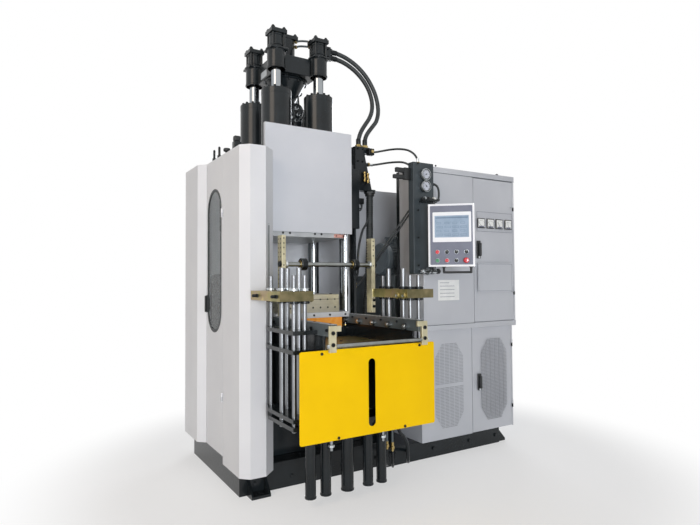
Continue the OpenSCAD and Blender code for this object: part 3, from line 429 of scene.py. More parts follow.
finishOf = {
    blackEnamel: "press_base power_base floor_feet press_bed clamp_cylinder moving_platen press_head"
        " lift_cylinders yoke_sleeves upper_cylinders injection_yoke barrel core_cylinder cover_brackets"
        " front_frame guide_plates ejector_tubes rod_collars valve_manifold panel_bracket",
    blueBlackEnamel: "gauge_column",
    hardChrome: "clamp_ram tie_bars lift_rods rail_rollers",
    satinChrome: "lifter_rods",
    creamPowderCoat: "front_column rear_column cover_door cover_hinges",
    paleGreyPowderCoat: "head_cover",
    paintedLightPanelCoat: "press_back_panel",
    greyPowderCoat: "lower_cabinet louvre_door upper_cabinet cabinet_door power_panels",
    yellowPowderCoat: "front_panel",
    yellowZinc: "lifting_arms",
    paleZinc: "hanger_bars rail_brackets",
    oiledSteel: "roller_bar cross_bar",
    nickelPlate: "heating_plate mould_plate",
    groundSteel: "upper_platen",
    paintedLightSteel: "table_plate",
    pressedBoard: "insulating_board",
    hoseRubber: "door_gasket pressure_hose_front pressure_hose_back gauge_hose_upper gauge_hose_lower"
        " cable_conduit",
    clearGlazing: "door_window",
    mouldedNylon: "door_handle",
    greyEnamel: "oil_tank slide_rails",
    motorEnamel: "pump_motor",
    whitePowderCoat: "operator_box",
}
for finish, names in finishOf.items():
    for name in names.split():
        nodes[name].data.materials.clear()
        nodes[name].data.materials.append(finish)

# hoses and conduit, on the routes of their solids

hoses = {
    "pressureHoseFront": {
        "node": "pressure_hose_front", "diameter": 0.034, "moves": True,
        "route": (
            (-0.330, 0.125, 3.200), (-0.270, 0.125, 3.200), (-0.1975, 0.123, 3.187),
            (-0.1255, 0.119, 3.159), (-0.0595, 0.113, 3.118), (-0.0015, 0.106, 3.064),
            (0.0455, 0.098, 2.998), (0.0795, 0.089, 2.924), (0.0975, 0.080, 2.844), (0.0965, 0.070, 2.764),
            (0.0725, 0.061, 2.690), (0.0265, 0.052, 2.634), (-0.0175, 0.046, 2.582),
            (-0.0455, 0.042, 2.536), (-0.0555, 0.040, 2.490), (-0.0555, 0.040, 2.446),
        ),
    },
    "pressureHoseBack": {
        "node": "pressure_hose_back", "diameter": 0.034, "moves": True,
        "route": (
            (-0.330, 0.125, 3.152), (-0.270, 0.125, 3.152), (-0.2035, 0.123, 3.140),
            (-0.1395, 0.119, 3.114), (-0.0805, 0.113, 3.076), (-0.0285, 0.106, 3.026),
            (0.0125, 0.098, 2.966), (0.0375, 0.089, 2.898), (0.0445, 0.079, 2.826), (0.0305, 0.069, 2.756),
            (-0.0025, 0.059, 2.694), (-0.0455, 0.051, 2.638), (-0.0845, 0.045, 2.582),
            (-0.1075, 0.041, 2.530), (-0.1155, 0.040, 2.488), (-0.1155, 0.040, 2.446),
        ),
    },
    "gaugeHoseUpper": {
        "node": "gauge_hose_upper", "diameter": 0.016, "moves": False,
        "route": (
            (-0.0155, 0.040, 2.423), (0.0165, 0.040, 2.423), (0.0545, 0.029, 2.429),
            (0.0915, 0.003, 2.436), (0.1215, -0.035, 2.440), (0.1435, -0.083, 2.438),
            (0.1555, -0.135, 2.430), (0.1595, -0.187, 2.417), (0.1565, -0.239, 2.400),
            (0.1495, -0.289, 2.378), (0.1405, -0.335, 2.352), (0.1315, -0.373, 2.324),
            (0.1245, -0.399, 2.298), (0.121, -0.410, 2.276), (0.121, -0.410, 2.259),
        ),
    },
    "gaugeHoseLower": {
        "node": "gauge_hose_lower", "diameter": 0.016, "moves": False,
        "route": (
            (-0.027, 0.040, 2.319), (0.0045, 0.040, 2.319), (0.0425, 0.029, 2.324), (0.0785, 0.003, 2.330),
            (0.1065, -0.033, 2.333), (0.1255, -0.079, 2.331), (0.1355, -0.129, 2.325),
            (0.1365, -0.181, 2.315), (0.1315, -0.233, 2.300), (0.1225, -0.283, 2.280),
            (0.1125, -0.329, 2.256), (0.1045, -0.367, 2.236), (0.1035, -0.381, 2.232),
            (0.1035, -0.395, 2.232),
        ),
    },
    "cableConduit": {
        "node": "cable_conduit", "diameter": 0.058, "moves": False,
        "route": (
            (-0.013, 0.040, 2.100), (-0.013, 0.040, 2.020), (-0.015, 0.040, 1.900), (-0.016, 0.039, 1.780),
            (-0.021, 0.037, 1.640), (-0.031, 0.035, 1.490), (-0.043, 0.034, 1.330), (-0.057, 0.034, 1.170),
            (-0.069, 0.034, 1.000), (-0.081, 0.034, 0.820), (-0.091, 0.034, 0.640), (-0.097, 0.034, 0.460),
            (-0.097, 0.034, 0.300), (-0.097, 0.034, 0.180),
        ),
    },
}
hoseEnds = {"bendsFrom": (-0.085, 0.040, 2.520), "bendsTo": (-0.085, 0.040, 3.120), "ribPitch": 0.016,
    "ribDepth": 0.0035}


def resample(line, spacing):
    # even steps along the line, both ends kept
    count = max(2, round(lineLength(line) / spacing))
    goal, walked, even, last = lineLength(line) / count, 0.0, [line[0]], line[0]
    for point in line[1:]:
        while walked + (point - last).length >= goal and len(even) < count:
            last = last + (point - last) * ((goal - walked) / (point - last).length)
            even.append(last)
            walked = 0.0
        walked += (point - last).length
        last = point
    return even + [line[-1]]


def runHose(name, spec):
    line = smoothLine(spec["route"], 8)
    radius = spec["diameter"] / 2
    mesh = bmesh.new()
    if name == "cableConduit":
        line = resample(line, hoseEnds["ribPitch"] / 4)
        radii = [radius - hoseEnds["ribDepth"] * (k % 4 in (2, 3)) for k in range(len(line))]
        addTube(mesh, line, radii, 18)
    else:
        line = resample(line, 0.02)
        addTube(mesh, line, radius, 18)
    hose = finishPiece(name, mesh, [hoseRubber], "root", Matrix.Identity(4), 60,
        not spec["moves"])
    if spec["moves"]:
        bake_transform(hose)
    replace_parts(hose, spec["node"])


for name, spec in hoses.items():
    runHose(name, spec)
print("hoses run")

# solids again with rounded edges, and the small tools that the dressing shares

riders = {
    "cabinet_door": "cabinet_door",
    "louvre_door": "louvre_door",
    "operator_panel": "operator_box",
    "platen": "moving_platen insulating_board table_plate heating_plate mould_plate",
    "injection_unit": "yoke_sleeves upper_cylinders injection_yoke core_cylinder",
    "lifter": "lifting_arms lifter_rods rod_collars hanger_bars cross_bar",
}
bodyOf = {node: body for body, names in riders.items() for node in names.split()}
# edge radius in mm of each solid that is drawn again
edgeOf = {
    "press_base": 4, "power_base": 4, "press_bed": 5, "moving_platen": 3, "press_head": 5,
    "insulating_board": 1.5, "table_plate": 2, "heating_plate": 2, "mould_plate": 2, "upper_platen": 2,
    "lifting_arms": 2, "hanger_bars": 1.5, "rail_brackets": 2, "slide_rails": 2, "guide_plates": 2,
    "front_frame": 2, "upper_cabinet": 3, "lower_cabinet": 3, "cabinet_door": 1.5, "louvre_door": 1.5,
    "head_cover": 1.2, "operator_box": 6, "gauge_column": 3, "injection_yoke": 6, "lift_cylinders": 4,
    "yoke_sleeves": 4, "upper_cylinders": 2, "core_cylinder": 2, "oil_tank": 5, "pump_motor": 4,
    "valve_manifold": 2, "lifter_rods": 2, "ejector_tubes": 1.5, "rod_collars": 1.5, "cross_bar": 1.5,
}


def boxMm(node):
    return [pressFrame.inverted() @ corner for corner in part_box(node)]


def camel(node):
    first, *rest = node.split("_")
    return first + "".join(word.capitalize() for word in rest)


def weightNormals(data):
    # each vertex takes the area-weighted normal of its faces, so wide faces stay flat beside rounded edges
    sums = [Vector((0, 0, 0)) for vertex in data.vertices]
    for face in data.polygons:
        for corner in face.vertices:
            sums[corner] += face.normal * face.area
    data.normals_split_custom_set_from_vertices([total.normalized() for total in sums])


def copySolid(node):
    mesh = bmesh.new()
    mesh.from_mesh(nodes[node].data)
    mesh.transform(pressFrame.inverted() @ nodes[node].matrix_world)
    bmesh.ops.remove_doubles(mesh, verts=mesh.verts, dist=0.01)
    bmesh.ops.dissolve_limit(mesh, angle_limit=0.01, verts=mesh.verts, edges=mesh.edges)
    return mesh


def roundEdges(mesh, edge, rounds):
    sharp = [e for e in mesh.edges if len(e.link_faces) == 2 and e.calc_face_angle(0) > math.radians(40)]
    bmesh.ops.bevel(mesh, geom=sharp, offset=edge, segments=rounds, profile=0.5, affect="EDGES",
        clamp_overlap=True)


bracket = {"screwRise": 6, "frontFrom": -1250}


def soften(node, edge):
    mesh = copySolid(node)
    roundEdges(mesh, edge, 2)
    if node == "rail_brackets":
        # its screw heads stand on the front face and end where the solid does
        for vertex in mesh.verts:
            vertex.co.y += bracket["screwRise"] if vertex.co.y < bracket["frontFrom"] else 0
    finishes = [nodes[node].data.materials[0]]
    if node == "lifting_arms":
        # the front faces of the arms take the darker zinc, as painted shade
        mesh.normal_update()
        tagFaces([f for f in mesh.faces if f.normal.y < -0.7], 1)
        tagFaces(mesh.faces, 0)
        finishes.append(frontShadeZinc)
    piece = finishPiece(camel(node), mesh, finishes, bodyOf.get(node, "root"),
        sharp=50)
    weightNormals(piece.data)
    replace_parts(piece, node)


for node, edge in edgeOf.items():
    soften(node, edge)
print("edges rounded")

up, right, back = Vector((0, 0, 1)), Vector((1, 0, 0)), Vector((0, 1, 0))


def addRing(mesh, place, axis, inner, outer, height, edge=1.0, sides=32, paint=0):
    profile = [(inner, 0), (outer - edge, 0), (outer, edge), (outer, height - edge), (outer - edge, height),
        (inner, height)]
    addTurned(mesh, place, axis, profile, sides, paint, closed=True)


def addHole(mesh, place, axis, radius, paint=0):
    # a drilled hole, drawn as a thin dark disc on the face: painted shade for the bore
    addTurned(mesh, place, axis, [(0, 0.3), (radius, 0.3), (radius, -1.5), (0, -1.5)], 14, paint)


def addSlot(mesh, middle, along, across, length, width, depth, paint=0):
    # flat plate with two round ends, raised along the cross product of along and across
    along, across = Vector(along), Vector(across)
    straight = (length - width) / 2
    outline = []
    for side in (1, -1):
        for k in range(9):
            turn = math.radians(-90 + 180 * k / 8)
            outline.append(Vector(middle) + side * (along * (straight + width / 2 * math.cos(turn))
                + across * width / 2 * math.sin(turn)))
    addPlate(mesh, outline, along.cross(across), depth, paint)


def spread(start, end, count):
    return [start + (end - start) * k / (count - 1) for k in range(count)]


def loopLine(middle, radius, start, end, count):
    # upright loop seen from the front, from one angle to the other
    angles = spread(start, end, count)
    return [Vector(middle) + radius * Vector((math.cos(a), 0, math.sin(a))) for a in angles]


def addDisc(mesh, place, axis, radius, height, sides, paint=0):
    addTurned(mesh, place, axis, [(0, 0), (radius, 0), (radius, height), (0, height)], sides, paint)


def addScrews(mesh, xs, ys, zs, axis, diameter, height, paint=0):
    # a socket head at every crossing of the three rows
    for x in xs:
        for y in ys:
            for z in zs:
                addSocketHead(mesh, (x, y, z), axis, diameter, height, paint)


def addBoltCircle(mesh, middle, radius, count, first, axis, diameter, height, paint=0):
    # socket heads around an upright axis, the first at an angle in radians
    for k in range(count):
        turn = first + 2 * math.pi * k / count
        spot = Vector(middle) + radius * Vector((math.cos(turn), math.sin(turn), 0))
        addSocketHead(mesh, spot, axis, diameter, height, paint)


def hoseEnd(name, index):
    return pressFrame.inverted() @ Vector(hoses[name]["route"][index])


# injection unit

injection = {"headBolts": 12, "boltRing": 0.84, "glandHeight": 42, "flange": 142, "flangeHeight": 18,
    "bandHeight": 46, "bandGap": 34, "capRise": 20, "tieRods": 44}


def columnPlaces():
    low, high = boxMm("injection_yoke")
    return [(x, y) for y in (low.y, high.y) for x in (low.x, high.x)]


def dressLiftCylinders():
    low, high = boxMm("lift_cylinders")
    columns = columnPlaces()
    radius = high.x - columns[1][0]
    rodRadius = boxMm("lift_rods")[1].x - columns[1][0]
    mesh = bmesh.new()
    for x, y in columns:
        addRing(mesh, (x, y, high.z - injection["glandHeight"]), up, radius - 4, radius + 1.2,
            injection["glandHeight"] - 6, 1, 48)
        addRing(mesh, (x, y, high.z), up, rodRadius + 0.6, rodRadius + 17, 9, 2, 40)
        addRing(mesh, (x, y, low.z), up, radius - 4, radius + 20, 26, 3, 48)
        addBoltCircle(mesh, (x, y, high.z), radius * injection["boltRing"], injection["headBolts"],
            0, up, 19, 14, 1)
        addBoltCircle(mesh, (x, y, low.z + 26), radius + 10, injection["headBolts"], 0, up, 13, 8, 1)
    finishPiece("liftCylinderGlands", mesh, [blackEnamel, blackOxide], "root")


def dressUpperCylinders():
    sleeveTop = boxMm("yoke_sleeves")[1].z
    capTop = boxMm("upper_cylinders")[1].z - injection["capRise"]
    rods = injection["tieRods"]
    mesh = bmesh.new()
    for x, y in columnPlaces():
        half = injection["flange"] / 2
        addBlock(mesh, (x - half, y - half, sleeveTop - 14),
            (x + half, y + half, sleeveTop - 14 + injection["flangeHeight"]), 6, 0, 3)
        addTurned(mesh, (x, y, capTop), up, [(40, -1), (40, 4), (30, 10), (0, 12)], 32)
        addHexHead(mesh, (x, y, capTop + 11), up, 17, 7, 1)
        for cornerX, cornerY in ((-rods, -rods), (-rods, rods), (rods, -rods), (rods, rods)):
            spot = Vector((x + cornerX, y + cornerY, 0))
            addRing(mesh, spot + up * (capTop - 28), up, 8, 18, 28, 4, 20)
            addHexHead(mesh, spot + up * capTop, up, 27, 13, 1)
            addHexHead(mesh, spot + up * (sleeveTop + 4), up, 25, 10, 1)
        for z in (capTop - 44, sleeveTop + 22):
            addRing(mesh, (x, y, z), up, 50, 57, 12, 2, 40)
        addRing(mesh, (x, y, boxMm("yoke_sleeves")[0].z), up, 40, 72, 16, 3, 40)
    finishPiece("upperCylinderCaps", mesh, [blackEnamel, blackOxide], "injection_unit")


def dressCore():
    low, high = boxMm("core_cylinder")
    middle = (low + high) / 2
    capTop = high.z - injection["capRise"]
    mesh = bmesh.new()
    addTurned(mesh, (middle.x, middle.y, capTop), up, [(46, -1), (46, 5), (34, 12), (0, 14)], 32)
    addRing(mesh, (middle.x, middle.y, low.z), up, 60, 88, 18, 3, 40)
    for x in (-57, 57):
        for y in (-57, 57):
            addHexHead(mesh, (middle.x + x, middle.y + y, capTop), up, 27, 13, 1)
            addHexHead(mesh, (middle.x + x * 0.98, middle.y + y * 0.98, low.z + 18), up, 19, 9, 1)
    for drop in (0, 42):
        start = Vector((62, 4, 3296 - drop))
        bends = ((0, 0, 0), (26, -38, 0), (62, -98, -18), (72, -128, -36))
        line = smoothLine([start + Vector(bend) for bend in bends], 6)
        addTube(mesh, line, 8, 14, 2)
        addHexHead(mesh, line[0], line[1] - line[0], 24, 16, 3)
        addHexHead(mesh, line[-1], line[-2] - line[-1], 24, 16, 3)
    finishPiece("coreCylinderCap", mesh, [blackEnamel, blackOxide, greyEnamel, turnedBrass],
        "injection_unit")


def dressBarrel():
    low, high = boxMm("barrel")
    axis = Vector((0, (low.y + high.y) / 2, 0))
    mesh = bmesh.new()
    z = boxMm("press_head")[1].z + 150
    while z < high.z - 260:
        addRing(mesh, axis + up * z, up, 54, 63, injection["bandHeight"], 1.5, 36, 1)
        addBlock(mesh, (-14, axis.y - 80, z + 8), (14, axis.y - 60, z + injection["bandHeight"] - 8), 3, 1)
        addSocketHead(mesh, (0, axis.y - 80, z + injection["bandHeight"] / 2), -back, 11, 8, 2)
        z += injection["bandHeight"] + injection["bandGap"]
    # feed elbow and cable glands in front of the barrel
    addBlock(mesh, (16, axis.y - 122, 2600), (84, axis.y - 52, 2668), 5, 0, 3)
    addTube(mesh, loopLine((50, axis.y - 92, 2730), 46, -1.9, 4.1, 30), 13, 14, 0)
    for radius, bends in ((9, ((28, -96, 2668), (22, -90, 2760), (40, -62, 2850), (60, -30, 2960))),
            (7, ((70, -100, 2668), (82, -96, 2720), (74, -80, 2800), (84, -40, 2960)))):
        addTube(mesh, smoothLine([axis + Vector(bend) for bend in bends], 8), radius, 12, 3)
    for x, z in ((30, 2640), (66, 2650), (48, 2690), (34, 2745)):
        addHexHead(mesh, (x, axis.y - 122, z), -back, 24, 14, 4)
        addTurned(mesh, (x, axis.y - 136, z), -back, [(0, 0), (9, 0), (9, 8), (5, 12), (0, 12)], 16, 0)
    finishPiece("barrelBands", mesh, [blackEnamel, groundSteel, blackOxide, hoseRubber, brightZinc],
        "injection_unit")


def dressYoke():
    low, high = boxMm("injection_yoke")
    mesh = bmesh.new()
    corners = ((10, 14), (10, 66), (128, 66), (128, 14))
    addPlate(mesh, [(low.x - 0.4, y, low.z + z) for y, z in corners], -right, 1.2, 1)
    for y in (18, 120):
        for z in (low.z + 21, low.z + 59):
            addTurned(mesh, (low.x - 1.2, y, z), -right, [(0, 0), (3, 0), (3, 1.2), (0, 1.6)], 10, 2)
    middle = (low.y + high.y) / 2
    addRing(mesh, (0, middle, low.z - 14), up, 120, 172, 14, 4, 56)
    addBoltCircle(mesh, (0, middle, low.z - 14), 156, 12, math.pi / 12, -up, 16, 12, 2)
    for x in (-110, 110):
        eye = Vector((x, middle, high.z))
        addTurned(mesh, eye, up, [(0, 0), (17, 0), (17, 6), (9, 10), (0, 10)], 20, 2)
        addTube(mesh, loopLine(eye + up * 34, 20, -1.57, 4.72, 28), 6, 12, 2)
    finishPiece("yokePlate", mesh, [blackEnamel, anodisedAluminium, blackOxide], "injection_unit")


dressLiftCylinders()
dressUpperCylinders()
dressCore()
dressBarrel()
dressYoke()
print("injection unit dressed")

# press: plates, tie bars and the valves beside the head

press = {"nutFlats": 118, "nutHeight": 44, "barRadius": 45, "holeRadius": 6, "plateSeam": 1257}


def dressTieBars():
    bedTop = boxMm("press_bed")[1].z
    headLow, headTop = (corner.z for corner in boxMm("press_head"))
    low, high = boxMm("tie_bars")
    platenTop = boxMm("moving_platen")[1].z
    radius = press["barRadius"]
    mesh = bmesh.new()
    moving = bmesh.new()
    for x in (low.x + radius, high.x - radius):
        for y in (low.y + radius, high.y - radius):
            addHexHead(mesh, (x, y, bedTop), up, press["nutFlats"], press["nutHeight"])
            addRing(mesh, (x, y, headLow - 22), up, radius + 0.5, radius + 20, 22, 3, 40)
            addHexHead(mesh, (x, y, headTop), up, press["nutFlats"], press["nutHeight"])
            addTurned(mesh, (x, y, headTop + press["nutHeight"]), up,
                [(30, -1), (30, 12), (26, 16), (0, 16)], 24)
            addRing(moving, (x, y, platenTop), up, radius + 6, radius + 22, 14, 3, 40)
            addBoltCircle(moving, (x, y, platenTop + 14), 59, 6, math.pi / 6, up, 10, 6, 1)
    finishPiece("tieBarNuts", mesh, [blackEnamel], "root")
    finishPiece("platenBushes", moving, [turnedBrass, blackOxide], "platen")


def dressPlates():
    mesh = bmesh.new()
    for node, row, size in (("mould_plate", 0.48, press["holeRadius"]),
            ("heating_plate", 0.58, press["holeRadius"] + 1)):
        low, high = boxMm(node)
        z = low.z + (high.z - low.z) * row
        for x in spread(low.x + 34, high.x - 34, 7):
            addHole(mesh, (x, low.y, z), -back, size, 1)
        for y in spread(low.y + 60, high.y - 60, 9):
            for side in (low.x, high.x):
                addHole(mesh, (side, y, z), right * (1 if side > 0 else -1), size, 1)
    low, high = boxMm("mould_plate")
    addScrews(mesh, (low.x + 46, high.x - 46), (low.y + 40, high.y - 40), (high.z,), up, 22, 5)
    # a black strip where the mould plate meets the heating plate: painted shade for the gap between them
    addBlock(mesh, (low.x - 0.4, low.y - 0.4, press["plateSeam"]),
        (high.x + 0.4, high.y, press["plateSeam"] + 3), 0, 1)
    low, high = boxMm("table_plate")
    addScrews(mesh, spread(low.x + 36, high.x - 36, 5), (low.y,), ((low.z + high.z) / 2,), -back, 15, 6)
    finishPiece("plateHoles", mesh, [blackOxide, mouldedNylon], "platen")
    fixed = bmesh.new()
    low, high = boxMm("upper_platen")
    for x in (-213, -159, 41, 95, 252):
        addHole(fixed, (x, low.y, high.z - 56), -back, 9, 1)
    addBlock(fixed, (201, low.y - 9, low.z + 4), (290, low.y, low.z + 30), 3, 2)
    addScrews(fixed, (214, 277), (low.y - 9,), (low.z + 17,), -back, 11, 5)
    for y in spread(low.y + 60, high.y - 60, 6):
        for side in (low.x, high.x):
            addHole(fixed, (side, y, high.z - 56), right * (1 if side > 0 else -1), 8, 1)
    finishPiece("platenHoles", fixed, [blackOxide, mouldedNylon, copperAndSheen], "root")


def dressValves():
    # small valves on a block behind the side cover
    low, high = boxMm("press_head")
    mesh = bmesh.new()
    addBlock(mesh, (-560, -320, high.z - 70), (low.x, 290, high.z - 6), 5, 0)
    for y in (229, 106):
        addBlock(mesh, (-552, y - 26, high.z - 6), (-490, y + 26, high.z + 26), 5, 0, 3)
        addTurned(mesh, (-521, y, high.z + 26), up,
            [(22, -1), (22, 30), (15, 40), (15, 62), (9, 68), (9, 124), (5, 130), (0, 130)], 20, 0)
    addBlock(mesh, (-552, -94, high.z - 6), (-490, -40, high.z + 44), 5, 0, 3)
    addTurned(mesh, (-521, -67, high.z + 44), up,
        [(9, -1), (9, 34), (24, 42), (26, 52), (22, 62), (0, 66)], 24, 1)
    addBlock(mesh, (-548, -300, high.z - 6), (-494, -254, high.z + 110), 5, 0, 3)
    addBlock(mesh, (-544, -297, high.z + 110), (-498, -257, high.z + 149), 9, 1, 3)
    addScrews(mesh, (-548,), spread(-290, 260, 7), (high.z - 6,), up, 13, 8, 1)
    finishPiece("headValves", mesh, [blackEnamel, mouldedNylon], "root")


manifold = {
    "screw": 15,
    "ferrule": ((19, 0), (20, 4), (20, 40), (18, 46), (17.2, 46), (17.2, 0)),
    "loopBends": ((758, -692, 2010), (750, -640, 1985), (615, -470, 1690), (490, -300, 1410),
        (446, -262, 1370)),
    "loopShifts": ((26, 0, 0), (26, 0, 0), (26, 0, 0), (13, 0, 0), (0, 0, -26)),
}


def dressManifold():
    face = boxMm("valve_manifold")[0].y
    mesh = bmesh.new()
    for x, z in ((462, 2430), (512, 2430), (462, 2330), (505, 2330), (462, 2240), (462, 2150), (530, 2150)):
        addSocketHead(mesh, (x, face, z), -back, manifold["screw"], 8, 0)
    for x, bottom in ((512, 2168), (543, 2160)):
        addTurned(mesh, (x, face - 18, bottom), up,
            [(0, 0), (11, 0), (11, 18), (14, 18), (14, 34), (9, 38), (9, 62), (12, 66), (12, 76), (0, 80)],
            20, 1)
        addBlock(mesh, (x - 13, face - 30, bottom + 20), (x + 13, face, bottom + 34), 3, 0)
    for name in ("pressureHoseFront", "pressureHoseBack"):
        spot = hoseEnd(name, -1)
        addHexHead(mesh, spot - up * 2, up, 46, 24, 1)
        addTurned(mesh, spot + up * 22, up, manifold["ferrule"], 28, 0, True)
    for name in ("gaugeHoseUpper", "gaugeHoseLower"):
        spot = hoseEnd(name, 0)
        addHexHead(mesh, spot - right * 4, right, 30, 16, 1)
        addTurned(mesh, spot + right * 12, right, [(10, 0), (10, 30), (8.3, 30), (8.3, 0)], 20, 2, True)
    spot = hoseEnd("cableConduit", 0)
    addRing(mesh, spot - up * 36, up, 29.6, 37, 38, 3, 28, 3)
    addHexHead(mesh, spot - up * 14, up, 80, 13, 3)
    spot = hoseEnd("cableConduit", -1)
    addRing(mesh, spot - up * 0.5, up, 29.6, 42, 40, 4, 28, 3)
    # plug cube, and two turns of cable that hang from a clamp
    addBlock(mesh, (540, face - 44, 2380), (590, face, 2432), 4, 0, 3)
    addHexHead(mesh, (565, face - 44, 2406), -back, 24, 14, 1)
    for x, y, z in ((464, -302, 1968), (476, -290, 1986)):
        turns = [Vector((math.cos(a) * 0.9, 0.3 * math.cos(a), math.sin(a))) for a in spread(-1.4, 4.6, 28)]
        addTube(mesh, [Vector((x, y, z)) + 30 * turn for turn in turns], 6, 12, 4)
    addBlock(mesh, (440, -318, 1988), (500, -282, 2034), 5, 0, 3)
    # two loop hoses; the second stands off the first by the shifts
    for copy in (0, 1):
        bends = zip(manifold["loopBends"], manifold["loopShifts"])
        line = [Vector(bend) + copy * Vector(shift) for bend, shift in bends]
        addTube(mesh, smoothLine(line, 8), 7, 14, 4)
        addTurned(mesh, line[-1] - right * 6, right, [(0, 0), (12, 0), (12, 12), (9, 16), (0, 16)], 18, 1)
    bends = ((574, 1890), (552, 1838), (517, 1782), (486, 1673), (472, 1566), (470, 1450), (446, 1410))
    addTube(mesh, smoothLine([(x, -262, z) for x, z in bends], 8), 9, 14, 4)
    finishPiece("manifoldFittings", mesh, [blackOxide, turnedBrass, brightZinc, mouldedNylon, hoseRubber],
        "root")
    moving = bmesh.new()
    for name in ("pressureHoseFront", "pressureHoseBack"):
        spot = hoseEnd(name, 0)
        addHexHead(moving, spot - right * 2, right, 46, 24)
        addTurned(moving, spot + right * 22, right, manifold["ferrule"], 28, 0, True)
    addScrews(moving, (200, 250), (-198,), (3146, 3206), -back, 13, 8)
    finishPiece("hoseFittings", moving, [blackOxide], "injection_unit")
    columnSide = bmesh.new()
    spot = hoseEnd("gaugeHoseUpper", -1)
    addHexHead(columnSide, spot - up * 3, up, 28, 15, 0)
    addTurned(columnSide, spot + up * 12, up, [(10, 0), (10, 28), (8.3, 28), (8.3, 0)], 20, 1, True)
    spot = hoseEnd("gaugeHoseLower", -1)
    addHexHead(columnSide, spot + back * 2, back, 28, 12, 0)
    addTurned(columnSide, spot + back * 12, back, [(10, 0), (10, 26), (8.3, 26), (8.3, 0)], 20, 1, True)
    finishPiece("gaugeFittings", columnSide, [turnedBrass, brightZinc], "root")


dressTieBars()
dressPlates()
dressValves()
dressManifold()
print("press dressed")

# lifter, slide rails and the yellow panel

lifter = {"bossRadius": 22, "bearing": 39.6, "crossBar": (-652, 1502), "armOuter": 555, "armInner": 340,
    "armBolts": (-733, -1022), "hangerPitch": 29, "panelCorner": 13,
    "panelScrews": ((-338, 981), (359, 984), (-231, 496), (241, 496)), "panelSlot": (-25, 25, 530, 930),
    "rods": ((384, -1040, 13), (453, -1040, 13), (432, -660, 13), (384, -965, 16), (453, -875, 16),
        (384, -800, 16))}


def roundedOutline(left, right, bottom, top, corner, steps=6):
    outline = []
    for cx, cz, turn in ((right - corner, top - corner, 0), (left + corner, top - corner, 90),
            (left + corner, bottom + corner, 180), (right - corner, bottom + corner, 270)):
        for k in range(steps + 1):
            a = math.radians(turn + 90 * k / steps)
            outline.append((cx + corner * math.cos(a), cz + corner * math.sin(a)))
    return outline


def addHolePlate(mesh, outline, hole, y, thickness, paint=0):
    # plate in the front plane with one opening; both loops have as many points and start alike
    loops = []
    for depth in (y, y + thickness):
        loops.append(([mesh.verts.new((x, depth, z)) for x, z in outline],
            [mesh.verts.new((x, depth, z)) for x, z in hole]))
    made = []
    count = len(outline)
    (frontOut, frontIn), (backOut, backIn) = loops
    for k in range(count):
        n = (k + 1) % count
        for quad in ((frontOut[k], frontOut[n], frontIn[n], frontIn[k]),
                (backOut[n], backOut[k], backIn[k], backIn[n]),
                (frontOut[n], frontOut[k], backOut[k], backOut[n]),
                (frontIn[k], frontIn[n], backIn[n], backIn[k])):
            made.append(mesh.faces.new(quad))
    tagFaces(made, paint)


def dressPanel():
    low, high = boxMm("front_panel")
    mesh = bmesh.new()
    outline = roundedOutline(low.x, high.x, low.z, high.z, lifter["panelCorner"])
    hole = roundedOutline(*lifter["panelSlot"], 24.9)
    addHolePlate(mesh, outline, hole, low.y, high.y - low.y)
    sharp = [e for e in mesh.edges if e.calc_face_angle(0) > 1.2]
    bmesh.ops.bevel(mesh, geom=sharp, offset=0.8, segments=2, profile=0.5, affect="EDGES")
    tagFaces(mesh.faces, 0)
    panel = finishPiece("frontPanel", mesh, [yellowPowderCoat], "root")
    weightNormals(panel.data)
    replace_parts(panel, "front_panel")
    screws = bmesh.new()
    for x, z in lifter["panelScrews"]:
        addTurned(screws, (x, low.y, z), -back, [(0, 0), (9, 0), (9, 1.2), (0, 1.3)], 20, 1)
        addSocketHead(screws, (x, low.y - 1.2, z), -back, 14, 6, 0)
    finishPiece("panelScrews", screws, [blackOxide, mouldedNylon], "root")


def dressLifter():
    mesh = bmesh.new()
    for side in (-1, 1):
        outer = side * lifter["armOuter"]
        inner = side * lifter["armInner"]
        out = right * side
        # slots in the arms as flat black plates, painted shade for the openings, each with its screw
        for y in lifter["armBolts"]:
            addSlot(mesh, (outer + side * 0.2, y, 1305), (0, side, 0), (0, 0, 1), 54, 22, 0.8, 1)
            addSocketHead(mesh, (outer, y + 8, 1305), out, 19, 28, 0)
        for y in (-962, -1033):
            addTurned(mesh, (inner, y, 1292), -out,
                [(0, 0), (lifter["bossRadius"], 0), (lifter["bossRadius"], 6), (18, 9), (0, 9)], 24, 2)
            addTurned(mesh, (inner - side * 9, y, 1292), -out, [(0, 0), (9, 0), (9, 4), (0, 5)], 18, 3)
    finishPiece("armFittings", mesh, [blackOxide, mouldedNylon, yellowZinc, brightZinc],
        "lifter")


def dressRods():
    # split lines and clamp screws of the rod collars, and a ring around each upper collar; the split lines
    # are thin black blocks, painted shade for the slits
    mesh = bmesh.new()
    low, high = boxMm("lifting_arms")
    for side in (-1, 1):
        for x, y, radius in lifter["rods"]:
            for z in (high.z + 8, low.z - 8):
                addBlock(mesh, (side * x - 1.2, y - 28.4, z - 8.3),
                    (side * x + 1.2, y - radius, z + 8.3), 0, 1)
                addSocketHead(mesh, (side * x + 12, y - 24, z), right, 9, 9, 0)
            addRing(mesh, (side * x, y, high.z + 0.5), up, radius + 0.3, 28.8, 16.5, 2, 32,
                2 if side < 0 else 0)
    finishPiece("rodCollarScrews", mesh, [blackOxide, mouldedNylon, brightZinc], "lifter")


